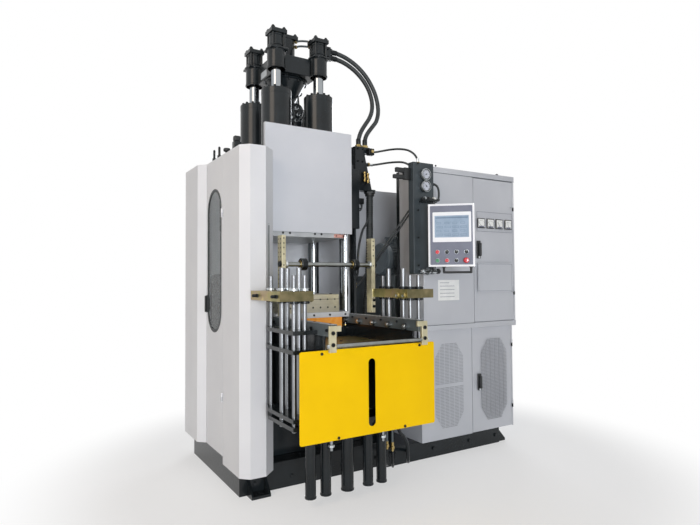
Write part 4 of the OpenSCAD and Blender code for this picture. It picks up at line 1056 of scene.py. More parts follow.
def dressHangers():
    mesh = bmesh.new()
    barY, barZ = lifter["crossBar"]
    low, high = boxMm("hanger_bars")
    for side in (-1, 1):
        for z in (1670, 1638, 1609, 1567, 1496):
            addHole(mesh, (side * 346, low.y, z), -back, 5, 1)
        for k in range(15):
            addHole(mesh, (side * 360, low.y + 20, high.z - 24 - lifter["hangerPitch"] * k),
                right * side, 6, 1)
            addHole(mesh, (side * 360, high.y - 18, high.z - 24 - lifter["hangerPitch"] * k),
                right * side, 5, 1)
        addScrews(mesh, (side * 346,), (low.y,), (1210, 1254), -back, 20, 11)
        # bearing of the cross bar
        addTurned(mesh, (side * 179, barY, barZ), right * side,
            [(16, -2), (30, -2), (34, 0), (lifter["bearing"], 3), (lifter["bearing"], 39), (34, 42),
            (30, 44), (16, 44)], 36, 0, True)
        addRing(mesh, (side * 176, barY, barZ), right * side, 16, 27, 48, 1.5, 32, 2)
        addRing(mesh, (side * 330, barY, barZ), -right * side, 15.8, 26, 14, 2, 28, 3)
        addHexHead(mesh, (side * 360, barY, barZ), right * side, 36, 14, 0)
    finishPiece("hangerHoles", mesh, [blackOxide, mouldedNylon, turnedBrass, brightZinc],
        "lifter")


rails = {"roller": 20.3, "rollerZ": 1102, "firstY": -1120, "pitch": 182, "rollers": 5,
    "screwYs": (-1200, -1010, -828, -646, -470)}


def dressRails():
    mesh = bmesh.new()
    z, wheel = rails["rollerZ"], rails["roller"]
    for side in (-1, 1):
        # ground strip on the rail's top
        addBlock(mesh, (min(side * 287, side * 323), -1244, 1149),
            (max(side * 287, side * 323), -434, 1152), 0.6, 3)
        for k in range(rails["rollers"]):
            y = rails["firstY"] + rails["pitch"] * k
            profile = [(0, -1), (16, -1), (wheel, 1), (wheel, 3), (17, 4), (0, 4)]
            addTurned(mesh, (side * 271, y, z), -right * side, profile, 28, 0)
            addRing(mesh, (side * 267.3, y, z), -right * side, 12, 16, 1.5, 0.5, 28, 2)
            addHexHead(mesh, (side * 267.5, y, z), -right * side, 17, 8, 2)
            if k < rails["rollers"] - 1:
                addSocketHead(mesh, (side * 285, y + rails["pitch"] / 2, 1128), -right * side, 15, 7, 1)
        addScrews(mesh, (side * 305,), rails["screwYs"], (1150,), up, 17, 4, 1)
        addScrews(mesh, (side * 325,), rails["screwYs"], (1116,), right * side, 17, 8, 1)
    finishPiece("railRollers", mesh, [hoseRubber, blackOxide, brightZinc, groundSteel], "root")
    brackets = bmesh.new()
    for side in (-1, 1):
        addScrews(brackets, (side * 322,), (-1263,), (1105, 1040), -back, 23, 7)
        addHexHead(brackets, (side * 344, -1258, 1032), right * side, 20, 10, 1)
    finishPiece("bracketScrews", brackets, [blackOxide, brightZinc], "root")


deck = {"low": (-310, -1120, 978), "high": (310, -420, 985), "tubeXs": (-263, -157, 0, 157, 263),
    "tubeY": -870, "tubeTop": 470, "tubeFoot": 65}
# radius and bends of each pipe under the guard, from its fitting to the power base
deckPipes = (
    (12, ((452, -800, 560), (452, -800, 420), (466, -800, 345), (502, -800, 305), (530, -800, 250),
        (536, -800, 185), (545, -790, 130), (580, -745, 104), (640, -665, 98), (700, -585, 96),
        (740, -519, 96))),
    (9, ((375, -840, 238), (377, -838, 180), (392, -818, 128), (440, -755, 104), (520, -650, 100),
        (590, -560, 98), (626, -519, 98))),
    (9, ((330, -840, 259), (331, -838, 200), (342, -822, 150), (380, -770, 126), (450, -680, 116),
        (540, -565, 112), (580, -480, 112))),
)


def dressFrontFrame():
    # deck between the side plates, guide plate screws, rods and pipes that hang under the panel
    mesh = bmesh.new()
    top = deck["high"][2]
    addBlock(mesh, deck["low"], deck["high"], 1.5, 0)
    # slots in the deck as flat black plates, painted shade for the openings
    for x in (-230, 0, 230):
        addSlot(mesh, (x, -1040, top), (1, 0, 0), (0, 1, 0), 120, 26, 0.8, 1)
        for y in (-1090, -700, -460):
            addSocketHead(mesh, (x + 60, y, top), up, 16, 6, 2)
    for x, y in ((-149, -930), (236, -930)):
        addRod(mesh, (x, y, 348), (x, y, 500), 10, 2, 20, 3)
        addHexHead(mesh, (x, y, 482), up, 34, 17, 4)
        addHexHead(mesh, (x, y, 372), up, 34, 16, 4)
    for side in (-1, 1):
        addScrews(mesh, (side * 325,), (-1110, -420), (560, 760, 960), right * side, 20, 12, 2)
    for x, low, high in ((330, 258, 311), (375, 237, 297)):
        addTurned(mesh, (x, -840, low), up, [(0, 0), (10, 0), (10, 14), (15, 14), (15, 30), (11, 34),
            (11, high - low), (0, high - low)], 20, 5)
        addRod(mesh, (x, -840, high - 1), (x, -840, 500), 8, 1, 16, 6)
    for radius, bends in deckPipes:
        addTube(mesh, smoothLine(bends, 6), radius, 14, 7)
    finishPiece("frontDeck", mesh, [yellowZinc, mouldedNylon, blackOxide, hardChrome, brightZinc,
        turnedBrass, greyEnamel, blackEnamel], "root")
    rims = bmesh.new()
    y, z = deck["tubeY"], deck["tubeTop"]
    for x in deck["tubeXs"]:
        radius = 40 if x == 0 else 33.5
        addRing(rims, (x, y, z), up, radius - 1, radius + 12, 30, 2, 36)
        addRing(rims, (x, y, deck["tubeFoot"]), up, radius - 6, radius + 2.5, 12, 2, 36)
        addBoltCircle(rims, (x, y, z), radius + 6, 4, math.pi / 4, -up, 8, 5, 1)
    finishPiece("tubeRims", rims, [blackEnamel, blackOxide], "root")


dressPanel()
dressLifter()
dressRods()
dressHangers()
dressRails()
dressFrontFrame()
print("lifter dressed")

# power cabinet

cabinet = {"lip": 4, "meterSide": 82, "meterXs": (1450, 1556, 1660, 1766), "meterZ": 1858, "slotColumns": 6,
    "slotPitch": 11.5, "slotGap": 6, "slotHeight": 4.4, "fieldCut": (72, 108), "sheetInset": 5,
    "lipZ": 2233, "bayEdge": 1378, "card": (993, 1212, 1231, 1392), "plate": (1405, 1810, 1290, 1530),
    "leftField": (982, 1282, 227, 881), "rightField": (1465, 1767, 233, 892)}


def addFrame(mesh, left, rightX, bottom, top, y, width, depth, paint=0):
    # four strips around a field on a front face
    for low, high in (((left, bottom), (rightX, bottom + width)), ((left, top - width), (rightX, top)),
            ((left, bottom + width), (left + width, top - width)),
            ((rightX - width, bottom + width), (rightX, top - width))):
        addBlock(mesh, (low[0], y - depth, low[1]), (high[0], y, high[1]), 0, paint)


def dressCabinet():
    low, high = boxMm("upper_cabinet")
    face = low.y
    mesh = bmesh.new()
    # folded lips above and below the doors, a card with plain lines, and lifting eyes
    addBlock(mesh, (low.x - 1, face - cabinet["lip"], cabinet["lipZ"]), (high.x, face + 4, high.z), 1.5, 0)
    addBlock(mesh, (low.x - 1, face - cabinet["lip"], low.z), (high.x, face + 4, low.z + 42), 1.5, 0)
    # dark strips under the top lip, over the bottom lip and under the upper cabinet: painted shade for the
    # gaps
    seam = face - cabinet["lip"] - 0.4
    addBlock(mesh, (low.x - 1, seam, cabinet["lipZ"] - 0.5), (high.x, face, cabinet["lipZ"] + 3), 0, 1)
    addBlock(mesh, (low.x - 1, seam, low.z + 39), (cabinet["bayEdge"], face, low.z + 42.5), 0, 1)
    lower = boxMm("lower_cabinet")[0]
    addBlock(mesh, (lower.x, lower.y - 0.4, low.z - 5), (cabinet["bayEdge"], lower.y + 1, low.z - 0.5), 0, 1)
    card = roundedOutline(*cabinet["card"], 3, 3)
    addPlate(mesh, [(x, face - 0.2, z) for x, z in card], -back, 0.5, 2)
    for z in (1258, 1286, 1314, 1342, 1368):
        addBlock(mesh, (1012, face - 0.9, z), (1012 + (150 if z != 1368 else 96), face - 0.6, z + 3), 0, 3)
    for x in (low.x + 40, high.x - 40):
        eye = Vector((x, (low.y + high.y) / 2, high.z))
        addTurned(mesh, eye, up, [(0, 0), (16, 0), (16, 5), (9, 8), (0, 8)], 20, 4)
        addTube(mesh, loopLine(eye + up * 28, 18, -1.57, 4.71, 26), 5, 12, 4)
    finishPiece("cabinetTrim", mesh, [greyPowderCoat, greyEnamel, whiteEnamel, slateFilm, blackOxide],
        "root")


def dressCabinetDoor():
    face = boxMm("cabinet_door")[0].y
    mesh = bmesh.new()
    half = cabinet["meterSide"] / 2
    addFrame(mesh, 1402, 1815, 1790, 1953, face, 2.5, 0.6, 5)
    for index, x in enumerate(cabinet["meterXs"]):
        z = cabinet["meterZ"]
        addBlock(mesh, (x - half, face - 4, z - half), (x + half, face, z + half), 2, 0, 2)
        addBlock(mesh, (x - half + 7, face - 5, z - half + 7),
            (x + half - 7, face - 3.5, z + half - 7), 0, 1)
        addBlock(mesh, (x - half + 14, face - 5.3, z - half + 7),
            (x + half - 14, face - 4.8, z - half + 19), 0, 5)
        for k in range(9):
            turn = math.radians(150 - 15 * k)
            spot = Vector((x, face - 5.2, z - 22)) + 44 * Vector((math.cos(turn), 0, math.sin(turn)))
            addBlock(mesh, spot - Vector((1, 0, 3)), spot + Vector((1, 0.4, 3)), 0, 0)
        lean = math.radians(140 - 12 * index)
        tip = Vector((x, face - 5.6, z - 22)) + 42 * Vector((math.cos(lean), 0, math.sin(lean)))
        addRod(mesh, (x, face - 5.6, z - 22), tip, 1.0, 0.2, 6, 4)
    # swing handle in its dish
    addBlock(mesh, (1398, face - 7, 1566), (1436, face, 1712), 6, 0, 3)
    addBlock(mesh, (1404, face - 30, 1584), (1430, face - 7, 1694), 9, 0, 3)
    addTurned(mesh, (1417, face - 7, 1577), -back, [(0, 0), (9, 0), (9, 3), (4, 4), (0, 4)], 20, 3)
    # bare plate with a printed border, and its rivets
    plate = roundedOutline(*cabinet["plate"], 6, 3)
    addPlate(mesh, [(x, face - 0.2, z) for x, z in plate], -back, 0.9, 2)
    addFrame(mesh, 1413, 1802, 1298, 1522, face - 1.1, 2, 0.3, 5)
    for x in (1418, 1797):
        for z in (1303, 1517):
            addTurned(mesh, (x, face - 1.3, z), -back, [(0, 0), (4, 0), (3, 1.6), (0, 2)], 12, 3)
    addScrews(mesh, (1796, 1822), (face,), (2010, 1291), -back, 10, 4, 3)
    finishPiece("cabinetDoorFittings", mesh,
        [mouldedNylon, whiteEnamel, greyPowderCoat, brightZinc, blackOxide, slateFilm],
        "cabinet_door")


def addSlotField(mesh, left, rightX, bottom, top, face):
    # rows of punched slots in columns, cut off by the corners of an eight-sided field; each slot is a flat
    # strip in painted shade over a grey lip
    pitch = (rightX - left) / cabinet["slotColumns"]
    cutX, cutZ = cabinet["fieldCut"]
    middle = (bottom + top) / 2
    for z in spread(bottom, top, round((top - bottom) / cabinet["slotPitch"]) + 1):
        if abs(z - middle) < cabinet["slotPitch"] / 2:
            continue
        inset = max(0.0, cutX * (1 - min(z - bottom, top - z) / cutZ))
        for k in range(cabinet["slotColumns"]):
            start = max(left + k * pitch + cabinet["slotGap"] / 2, left + inset)
            end = min(left + (k + 1) * pitch - cabinet["slotGap"] / 2, rightX - inset)
            if end - start > cabinet["slotHeight"]:
                addBlock(mesh, (start, face - 0.4, z), (end, face + 0.4, z + cabinet["slotHeight"]), 0, 1)
                addBlock(mesh, (start, face - 2.2, z - 2.4), (end, face, z), 0, 0)


def dressLouvres():
    face = boxMm("lower_cabinet")[0].y
    mesh = bmesh.new()
    addSlotField(mesh, *cabinet["leftField"], face)
    finishPiece("lowerBayLouvres", mesh, [greyPowderCoat, shadedPowderCoat], "root",
        sharp=30)
    face = boxMm("louvre_door")[0].y
    mesh = bmesh.new()
    addSlotField(mesh, *cabinet["rightField"], face)
    finishPiece("louvreDoorSlots", mesh, [greyPowderCoat, shadedPowderCoat], "louvre_door",
        sharp=30)
    handle = bmesh.new()
    addBlock(handle, (1424, face - 7, 484), (1460, face, 620), 6, 0, 3)
    addBlock(handle, (1430, face - 28, 500), (1454, face - 7, 604), 8, 0, 3)
    addTurned(handle, (1442, face - 7, 493), -back, [(0, 0), (9, 0), (9, 3), (4, 4), (0, 4)], 20, 1)
    finishPiece("louvreDoorHandle", handle, [mouldedNylon, brightZinc], "louvre_door")


def dressHinges():
    # the side cover's hinges are drawn grey, darker than the cream cover, as painted shade so that their lit
    # faces do not stand out; the cabinet's are black
    mesh = copySolid("cover_hinges")
    roundEdges(mesh, 0.6, 1)
    tagFaces([f for f in mesh.faces if f.calc_center_median().x < 0], 0)
    tagFaces(mesh.faces, 1)
    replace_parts(finishPiece("doorHinges", mesh, [greyPowderCoat, blackOxide], "root"),
        "cover_hinges")


def dressPost():
    # the corner post behind the cabinet is black, the sheets are grey
    mesh = copySolid("power_panels")
    # the sheets stand in by the height of the screws and louvres on them
    high = boxMm("power_panels")[1]
    for vertex in mesh.verts:
        vertex.co.x -= cabinet["sheetInset"] if vertex.co.x > high.x - 10 else 0
        vertex.co.y -= cabinet["sheetInset"] if vertex.co.y > high.y - 10 else 0
    roundEdges(mesh, 1.0, 1)
    tagFaces([f for f in mesh.faces if f.calc_center_median().x < 895 and f.calc_center_median().y < 0], 1)
    tagFaces(mesh.faces, 0)
    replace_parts(finishPiece("powerPanels", mesh, [greyPowderCoat, blackEnamel], "root"),
        "power_panels")


def dressPanels():
    # screws and louvre rows on the panels of the power side and behind the press
    high = boxMm("power_panels")[1]
    sheet = cabinet["sheetInset"]
    mesh = bmesh.new()
    rows = spread(220, 2180, 8)
    addScrews(mesh, (high.x - sheet,), (-270, 555), rows, right, 13, 4)
    addScrews(mesh, (590, 1212, 1830), (high.y - sheet,), rows, back, 13, 4)
    addScrews(mesh, (-410, 520), (boxMm("press_back_panel")[1].y - 2,), rows, back, 11, 2)
    # each louvre is a grey lip over a dark strip, the strip painted shade for the opening under it
    for z in spread(420, 992, 14):
        for x in (760, 1000, 1430, 1670):
            addBlock(mesh, (x - 85, high.y - sheet - 1, z), (x + 85, high.y - 0.5, z + 10), 1.5, 1)
            addBlock(mesh, (x - 85, high.y - sheet - 1, z - 9), (x + 85, high.y - sheet + 0.5, z), 0, 2)
        for y in (20, 270):
            addBlock(mesh, (high.x - sheet - 1, y - 85, z), (high.x - 0.5, y + 85, z + 10), 1.5, 1)
            addBlock(mesh, (high.x - sheet - 1, y - 85, z - 9), (high.x - sheet + 0.5, y + 85, z), 0, 2)
    finishPiece("panelLouvres", mesh, [blackOxide, greyPowderCoat, greyEnamel], "root")


gear = {"left": 1412, "right": 1812, "back": -312, "railZs": (1230, 1480, 1730, 1980), "ductWidth": 40}


def dressGear():
    # mounting plate behind the cabinet door with rails, ducts, breakers and contactors
    mesh = bmesh.new()
    left, rightX, y = gear["left"], gear["right"], gear["back"]
    addBlock(mesh, (left, y, 1110), (rightX, y + 3, 2170), 1, 0)
    for row, z in enumerate(gear["railZs"]):
        addBlock(mesh, (left + 20, y - 8, z - 17), (rightX - 20, y, z + 17), 1, 0)
        addBlock(mesh, (left + 6, y - 60, z + 95), (rightX - 6, y, z + 95 + gear["ductWidth"]), 2, 1)
        for x in spread(left + 14, rightX - 14, 38):
            addBlock(mesh, (x - 2, y - 60.4, z + 100), (x + 2, y - 59, z + 90 + gear["ductWidth"]), 0, 4)
        wide, paint = (18, 3) if row % 2 else (45, 2)
        for x in spread(left + 60, rightX - 60, 15 if row % 2 else 6):
            addBlock(mesh, (x - wide / 2, y - 62, z - 42), (x + wide / 2, y - 8, z + 42), 2, paint)
            addBlock(mesh, (x - wide / 2 + 2, y - 74, z - 22), (x + wide / 2 - 2, y - 62, z + 22), 2, paint)
            addBlock(mesh, (x - 4, y - 84, z - 6), (x + 4, y - 74, z + 10), 1.5, 2)
            for end in (-36, 36):
                addTurned(mesh, (x, y - 62, z + end), -back, [(0, 0), (4, 0), (4, 2), (0, 2.5)], 12, 0)
    finishPiece("cabinetGear", mesh, [brightZinc, greyPowderCoat, mouldedNylon, whiteEnamel, greyEnamel],
        "root")


motor = {"fins": 30, "finHeight": 16, "finFrom": 1010, "finTo": 1330, "axis": (130, 1580), "radius": 130}


def dressMotor():
    y, z = motor["axis"]
    radius = motor["radius"]
    mesh = bmesh.new()
    for k in range(motor["fins"]):
        turn = 2 * math.pi * k / motor["fins"]
        if math.sin(turn) < -0.75:
            continue
        out = Vector((0, math.cos(turn), math.sin(turn)))
        foot = Vector((0, y, z)) + out * (radius - 3)
        across = Vector((0, -math.sin(turn), math.cos(turn)))
        corners = ((motor["finFrom"], 0), (motor["finTo"], 0), (motor["finTo"], motor["finHeight"]),
            (motor["finFrom"], motor["finHeight"]))
        addPlate(mesh, [foot + right * x + out * rise - across * 2 for x, rise in corners], across, 4, 0)
    cowl = ((8, 0), (20, 10), (20, 118), (6, 140), (-40, 148), (-radius, 149))
    addTurned(mesh, (1350, y, z), right, [(radius + more, height) for more, height in cowl], 48, 0)
    for ring in (40, 62, 84, 106):
        addRing(mesh, (1497, y, z), right, ring - 4, ring + 4, 3, 0.8, 40, 1)
    shield = ((8, 0), (16, 8), (16, 46), (6, 56), (-6, 56), (-6, 0))
    addTurned(mesh, (950, y, z), right, [(radius + more, height) for more, height in shield], 48, 0, True)
    addBlock(mesh, (1130, y + 60, z + radius - 10), (1270, y + 170, z + radius + 66), 8, 0, 3)
    addBlock(mesh, (1124, y + 54, z + radius + 66), (1276, y + 176, z + radius + 82), 5, 0, 3)
    addScrews(mesh, (1136, 1264), (y + 66, y + 164), (z + radius + 82,), up, 10, 4, 2)
    eye = Vector((1109, y, z + radius + 14))
    addTurned(mesh, eye - up * 18, up, [(0, 0), (18, 0), (18, 14), (10, 18), (0, 18)], 20, 0)
    addTube(mesh, loopLine(eye + up * 22, 22, -1.57, 4.71, 28), 7, 12, 0)
    finishPiece("motorFins", mesh, [motorEnamel, mouldedNylon, blackOxide], "root")


def dressTank():
    low, high = boxMm("oil_tank")
    mesh = bmesh.new()
    addBlock(mesh, (low.x + 60, low.y + 60, high.z), (low.x + 380, low.y + 250, high.z + 12), 3, 0)
    for x in spread(low.x + 78, low.x + 362, 5):
        for y in (low.y + 76, low.y + 234):
            addHexHead(mesh, (x, y, high.z + 12), up, 17, 8, 1)
    addTurned(mesh, (high.x - 150, low.y + 160, high.z), up,
        [(0, 0), (62, 0), (62, 12), (44, 14), (44, 70), (60, 72), (60, 108), (52, 118), (0, 120)], 36, 1)
    addTurned(mesh, (high.x - 330, low.y + 150, high.z), up,
        [(0, 0), (50, 0), (50, 10), (40, 12), (40, 150), (34, 160), (0, 162)], 32, 2)
    addBlock(mesh, (low.x - 16, 60, 620), (low.x, 96, 820), 4, 1)
    addBlock(mesh, (low.x - 18, 68, 640), (low.x - 14, 88, 800), 1, 3)
    finishPiece("tankFittings", mesh, [greyEnamel, blackOxide, whitePowderCoat, whiteEnamel], "root")


dressCabinet()
dressCabinetDoor()
dressLouvres()
dressHinges()
dressPost()
dressPanels()
dressGear()
dressMotor()
dressTank()
print("cabinet dressed")

# operator panel and gauges

operator = {"pivot": (758, -841, 1487), "turn": -42, "face": -33, "left": -38, "right": 288, "height": 450,
    "border": 14, "bezel": (-6, 264, 176, 390), "screen": (8, 248, 209, 365),
    "keys": ((26, 105, "red"), (93, 105, "turn"), (160, 105, "turn"), (229, 105, "turn"),
        (26, 44, "green"), (92, 44, "red"), (159, 44, "turn"), (227, 44, "stop"))}
operatorTurn = Matrix.Rotation(math.radians(operator["turn"]), 4, "Z")
operatorFrame = pressFrame @ Matrix.Translation(operator["pivot"]) @ operatorTurn


def dressOperator():
    face = operator["face"]
    edge = operator["border"]
    mesh = bmesh.new()
    film = roundedOutline(operator["left"] + edge, operator["right"] - edge, edge,
        operator["height"] - edge, 5, 4)
    addPlate(mesh, [(x, face - 0.2, z) for x, z in film], -back, 1.2, 0)
    left, rightX, bottom, top = operator["bezel"]
    hole = operator["screen"]
    addHolePlate(mesh, roundedOutline(left, rightX, bottom, top, 6, 4), roundedOutline(*hole, 2, 4),
        face - 6, 5, 1)
    addPlate(mesh, [(x, face - 1.2, z) for x,
        z in roundedOutline(hole[0] - 1, hole[1] + 1, hole[2] - 1, hole[3] + 1, 2, 4)], -back, 1.6, 2)
    # plain fields of the display: a header bar and rows of boxes
    addBlock(mesh, (hole[0] + 6, face - 3.1, hole[3] - 20), (hole[1] - 6, face - 2.8, hole[3] - 10), 0, 3)
    for row in range(4):
        for column in range(4):
            x = hole[0] + 14 + 56 * column
            z = hole[2] + 12 + 28 * row
            addFrame(mesh, x, x + 44 - 12 * (row % 2), z, z + 13, face - 2.8, 2, 0.3, 3)
    finishPiece("operatorFace", mesh, [slateFilm, whitePowderCoat, crystalGlass, crystalInk],
        "operator_panel", operatorFrame)
    keys = bmesh.new()
    for x, z, kind in operator["keys"]:
        spot = Vector((x, face - 1.2, z))
        addTurned(keys, spot, -back, [(0, 0), (17, 0), (17, 1.2), (15, 4), (0, 4)], 32, 4)
        if kind == "turn":
            addTurned(keys, spot - back * 3, -back, [(0, 0), (14, 0), (13, 9), (0, 10)], 28, 0)
            addBlock(keys, (x - 4, face - 22, z - 14), (x + 4, face - 10, z + 14), 2.5, 0)
            addBlock(keys, (x - 1, face - 22.4, z + 4), (x + 1, face - 21.9, z + 13), 0, 1)
        elif kind == "stop":
            addTurned(keys, spot - back * 3, -back,
                [(0, 0), (13, 0), (13, 8), (19, 10), (19.5, 16), (15, 21), (0, 23)], 32, 2)
        else:
            addTurned(keys, spot - back * 3, -back, [(0, 0), (14, 0), (14, 6), (12, 8), (0, 8.6)], 28,
                2 if kind == "red" else 3)
    for x in (operator["left"] + 7, operator["right"] - 7):
        for z in (7, operator["height"] - 7):
            addTurned(keys, (x, face, z), -back, [(0, 0), (4.5, 0), (4, 2), (0, 2.4)], 14, 4)
    finishPiece("operatorKeys", keys, [mouldedNylon, whiteEnamel, redAcrylic, greenAcrylic, brightZinc],
        "operator_panel", operatorFrame)
    grip = bmesh.new()
    addTube(grip, smoothLine([(66, 0, -39.5), (100, 0, -40), (166, 0, -40), (232, 0, -40), (266, 0, -39.5)],
        5), 8.2, 18, 0)
    for x in (70, 262):
        addTurned(grip, (x, 0, 0), -up, [(0, -1), (15, -1), (15, 3), (9, 6), (8.4, 30), (8.4, 44), (0, 46)],
            20, 0)
    finishPiece("operatorGrip", grip, [mouldedNylon], "operator_panel", operatorFrame)


gauge = {"x": 745.5, "zs": (2169, 2081), "face": -780, "radius": 42}


def dressGauges():
    mesh = bmesh.new()
    radius = gauge["radius"]
    for index, z in enumerate(gauge["zs"]):
        spot = Vector((gauge["x"], gauge["face"], z))
        bezel = ((-1, 0), (1.2, 2), (1.2, 14), (-1, 19), (-4, 19), (-4, 12), (-1, 10))
        addTurned(mesh, spot + back * 14, -back,
            [(radius + more, height) for more, height in bezel], 48, 0, True)
        addTurned(mesh, spot, -back, [(0, 1), (radius - 3, 1), (radius - 3, -1), (0, -1)], 48, 2)
        addTurned(mesh, spot, -back, [(0, 1.6), (radius * 0.76, 1.6), (radius * 0.76, 0), (0, 0)], 48, 1)
        for k in range(25):
            turn = math.radians(225 - 270 * k / 24)
            out = Vector((math.cos(turn), 0, math.sin(turn)))
            inner = 25 if k % 4 else 22
            addRod(mesh, spot + out * inner - back * 1.8, spot + out * 29 - back * 1.8,
                0.6 if k % 4 else 1.0, 0.1, 6, 2)
        lean = math.radians(205 - 70 * index)
        out = Vector((math.cos(lean), 0, math.sin(lean)))
        addRod(mesh, spot - out * 9 - back * 2.4, spot + out * 24 - back * 2.4, 1.1, 0.2, 8, 2)
        addTurned(mesh, spot, -back, [(0, 1), (5, 1), (4.5, 4), (0, 4.5)], 16, 2)
    finishPiece("gaugeDials", mesh, [brightZinc, dialCard, mouldedNylon], "root")


column = {"clampY": -800, "upperClamp": 1984, "lowerClamp": 1456,
    "hoseBends": ((0, -726, 2110), (16, -728, 2112), (42, -732, 2092), (50, -736, 2046), (40, -738, 1996),
    (14, -734, 1976), (0, -732, 1976))}


def dressColumn():
    low, high = boxMm("gauge_column")
    clampY, upperZ, lowerZ = column["clampY"], column["upperClamp"], column["lowerClamp"]
    mesh = bmesh.new()
    # clamps that hold the operator arm, their knob, and the bracket to the press
    addRod(mesh, (690, clampY, upperZ), (836, clampY, upperZ), 8, 1, 18, 0)
    for x, size, width, paint in ((706, 17, 8, 1), (742, 14, 22, 0), (790, 16, 18, 2)):
        addDisc(mesh, (x, clampY, upperZ), right, size, width, 26, paint)
    addTurned(mesh, (832, clampY, upperZ), right,
        [(0, 0), (8, 0), (12, 5), (12, 12), (8, 16), (0, 17)], 24, 0)
    addRod(mesh, (668, clampY, lowerZ), (824, clampY, lowerZ), 11, 1, 20, 1)
    for x, size, width in ((684, 17, 14), (730, 27, 9), (770, 17, 30)):
        addDisc(mesh, (x, clampY, lowerZ), right, size, width, 28, 1)
    addTurned(mesh, (818, clampY, lowerZ), right,
        [(0, 0), (12, 0), (19, 5), (20, 18), (14, 26), (0, 27)], 24, 0)
    for z in (upperZ, lowerZ):
        addBlock(mesh, (716, -792, z - 16), (764, -752, z + 16), 5, 0, 3)
    addBlock(mesh, (590, -722, 2128), (low.x + 2, -692, 2216), 5, 0)
    addBlock(mesh, (520, -720, 2178), (594, -694, 2212), 5, 0)
    addBlock(mesh, (500, -720, 2130), (594, -694, 2160), 5, 0)
    addScrews(mesh, (low.x + 18, high.x - 18), (low.y,), (2240, 1900, 1700, 1500), -back, 13, 6, 3)
    addTube(mesh, smoothLine([(high.x + x, y, z) for x, y, z in column["hoseBends"]], 7), 8, 14, 4)
    for y, z in ((-727, 2110), (-732, 1976)):
        addTurned(mesh, (high.x - 1, y, z), right,
            [(0, 0), (12, 0), (12, 8), (8, 14), (6, 20), (0, 20)], 18, 0)
    finishPiece("columnClamps", mesh, [mouldedNylon, brightZinc, whiteEnamel, blackOxide, hoseRubber],
        "root")


dressOperator()
dressGauges()
dressColumn()
print("operator panel dressed")

# side cover, base and feet

cover = {"plate": 6, "gripInset": 14, "seamX": -407, "seamLow": 1130, "seamHigh": 1760}


def dressCover():
    low, high = boxMm("door_handle")
    mesh = bmesh.new()
    middle = (low.y + high.y) / 2
    plate = high.x - cover["plate"]
    addBlock(mesh, (plate, low.y + 4, low.z), (high.x, high.y, high.z), 2, 0, 2)
    addBlock(mesh, (low.x + cover["gripInset"], low.y + 7, low.z + 4),
        (plate, high.y - 3, high.z - 4), 4, 0, 3)
    addTurned(mesh, (plate, middle, low.z + 2), -right,
        [(0, -1), (2, -1), (2, 1), (1, 1.5), (0, 1.5)], 18, 1)
    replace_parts(finishPiece("doorHandle", mesh, [mouldedNylon, brightZinc], "cover_door"),
        "door_handle")


def dressSeam():
    mesh = bmesh.new()
    face = boxMm("front_column")[0].y
    x, bottom, top = cover["seamX"], cover["seamLow"], cover["seamHigh"]
    # a dark strip along the door's seam on the column face, painted shade for the gap, and a screw head at
    # each end
    addBlock(mesh, (x - 3, face - 0.5, bottom), (x + 3, face + 0.6, top), 0, 0)
    for z in (bottom - 8, top + 8):
        addTurned(mesh, (x, face, z), -back, [(0, -1), (4, -1), (3.4, 1.2), (0, 1.5)], 14, 1)
    finishPiece("columnSeam", mesh, [greyEnamel, brightZinc], "root")


# valve block on the back panel, seen through the door window
sideValves = {"low": (-436, 500, 1010), "high": (-350, 587, 1450), "bore": 30, "pitch": 104, "pipe": 9}


def dressSideValves():
    low = Vector(sideValves["low"])
    radius = sideValves["bore"]
    mesh = bmesh.new()
    addBlock(mesh, low, sideValves["high"], 4, 0, 2)
    for k in range(4):
        z = low.z + 64 + k * sideValves["pitch"]
        addTurned(mesh, (low.x + 43, low.y, z), -back,
            [(0, -1), (radius, -1), (radius, 40), (radius - 6, 46), (0, 46)], 24, 1)
        addSocketHead(mesh, (low.x + 43, low.y - 46, z), -back, 22, 9, 2)
        bends = ((2, z), (-24, z - 6), (-34, z - 40), (-34, low.z - 120))
        line = smoothLine([(low.x + x, low.y + 40, height) for x, height in bends], 6)
        addTube(mesh, line, sideValves["pipe"], 12, 3)
    finishPiece("sideValves", mesh, [blackEnamel, greyEnamel, blackOxide, brightZinc], "root")


baseBolts = {"press_base": (-470, -200, 200, 490), "power_base": (620, 1000, 1380, 1680)}


def dressBase():
    mesh = bmesh.new()
    for node, xs in baseBolts.items():
        face = boxMm(node)[0].y
        for x in xs:
            addTurned(mesh, (x, face, 70), -back, [(0, -1), (16, -1), (16, 2), (0, 2)], 20, 0)
            addHexHead(mesh, (x, face - 2, 70), -back, 24, 11, 0)
    finishPiece("baseScrews", mesh, [blackEnamel], "root")


dressCover()
dressSideValves()
dressSeam()
dressBase()
print("cover and base dressed")

# floor and light

studio = {"floor": "#ffffff", "floorSpan": 40.0, "shadowTo": 1.7, "whiteFrom": 2.7, "whiteNear": 0.5,
    "ambient": 0.262}
# softboxes: metres from the middle of the part, and watts
lamps = {
    "leftSoftbox": {"place": (-5.5, -3.0, 4.2), "aim": (-0.6, 0.0, 1.5), "size": (3.0, 3.0), "watts": 97,
        "colour": "#ffecd8"},
    "frontSoftbox": {"place": (-4.2, -9.4, 1.7), "aim": (-0.4, 0.0, 1.5), "size": (2.8, 2.4), "watts": 500,
        "colour": "#f4f8ff"},
    "rearSoftbox": {"place": (5.6, 6.2, 3.6), "aim": (0.2, 0.4, 1.2), "size": (4.0, 4.0), "watts": 260,
        "colour": "#f4f8ff"},
}


def seenRays(tree):
    # 1 for what the camera sees, also in metal and through glass
    path = addNode(tree, "LightPath")
    kinds = ("Is Camera Ray", "Is Glossy Ray", "Is Transmission Ray")
    camera, glossy, through = (path.outputs[kind] for kind in kinds)
    first = addNode(tree, "Math", {0: camera, 1: glossy}, operation="MAXIMUM")
    return addNode(tree, "Math", {0: first.outputs[0], 1: through}, operation="MAXIMUM").outputs[0]


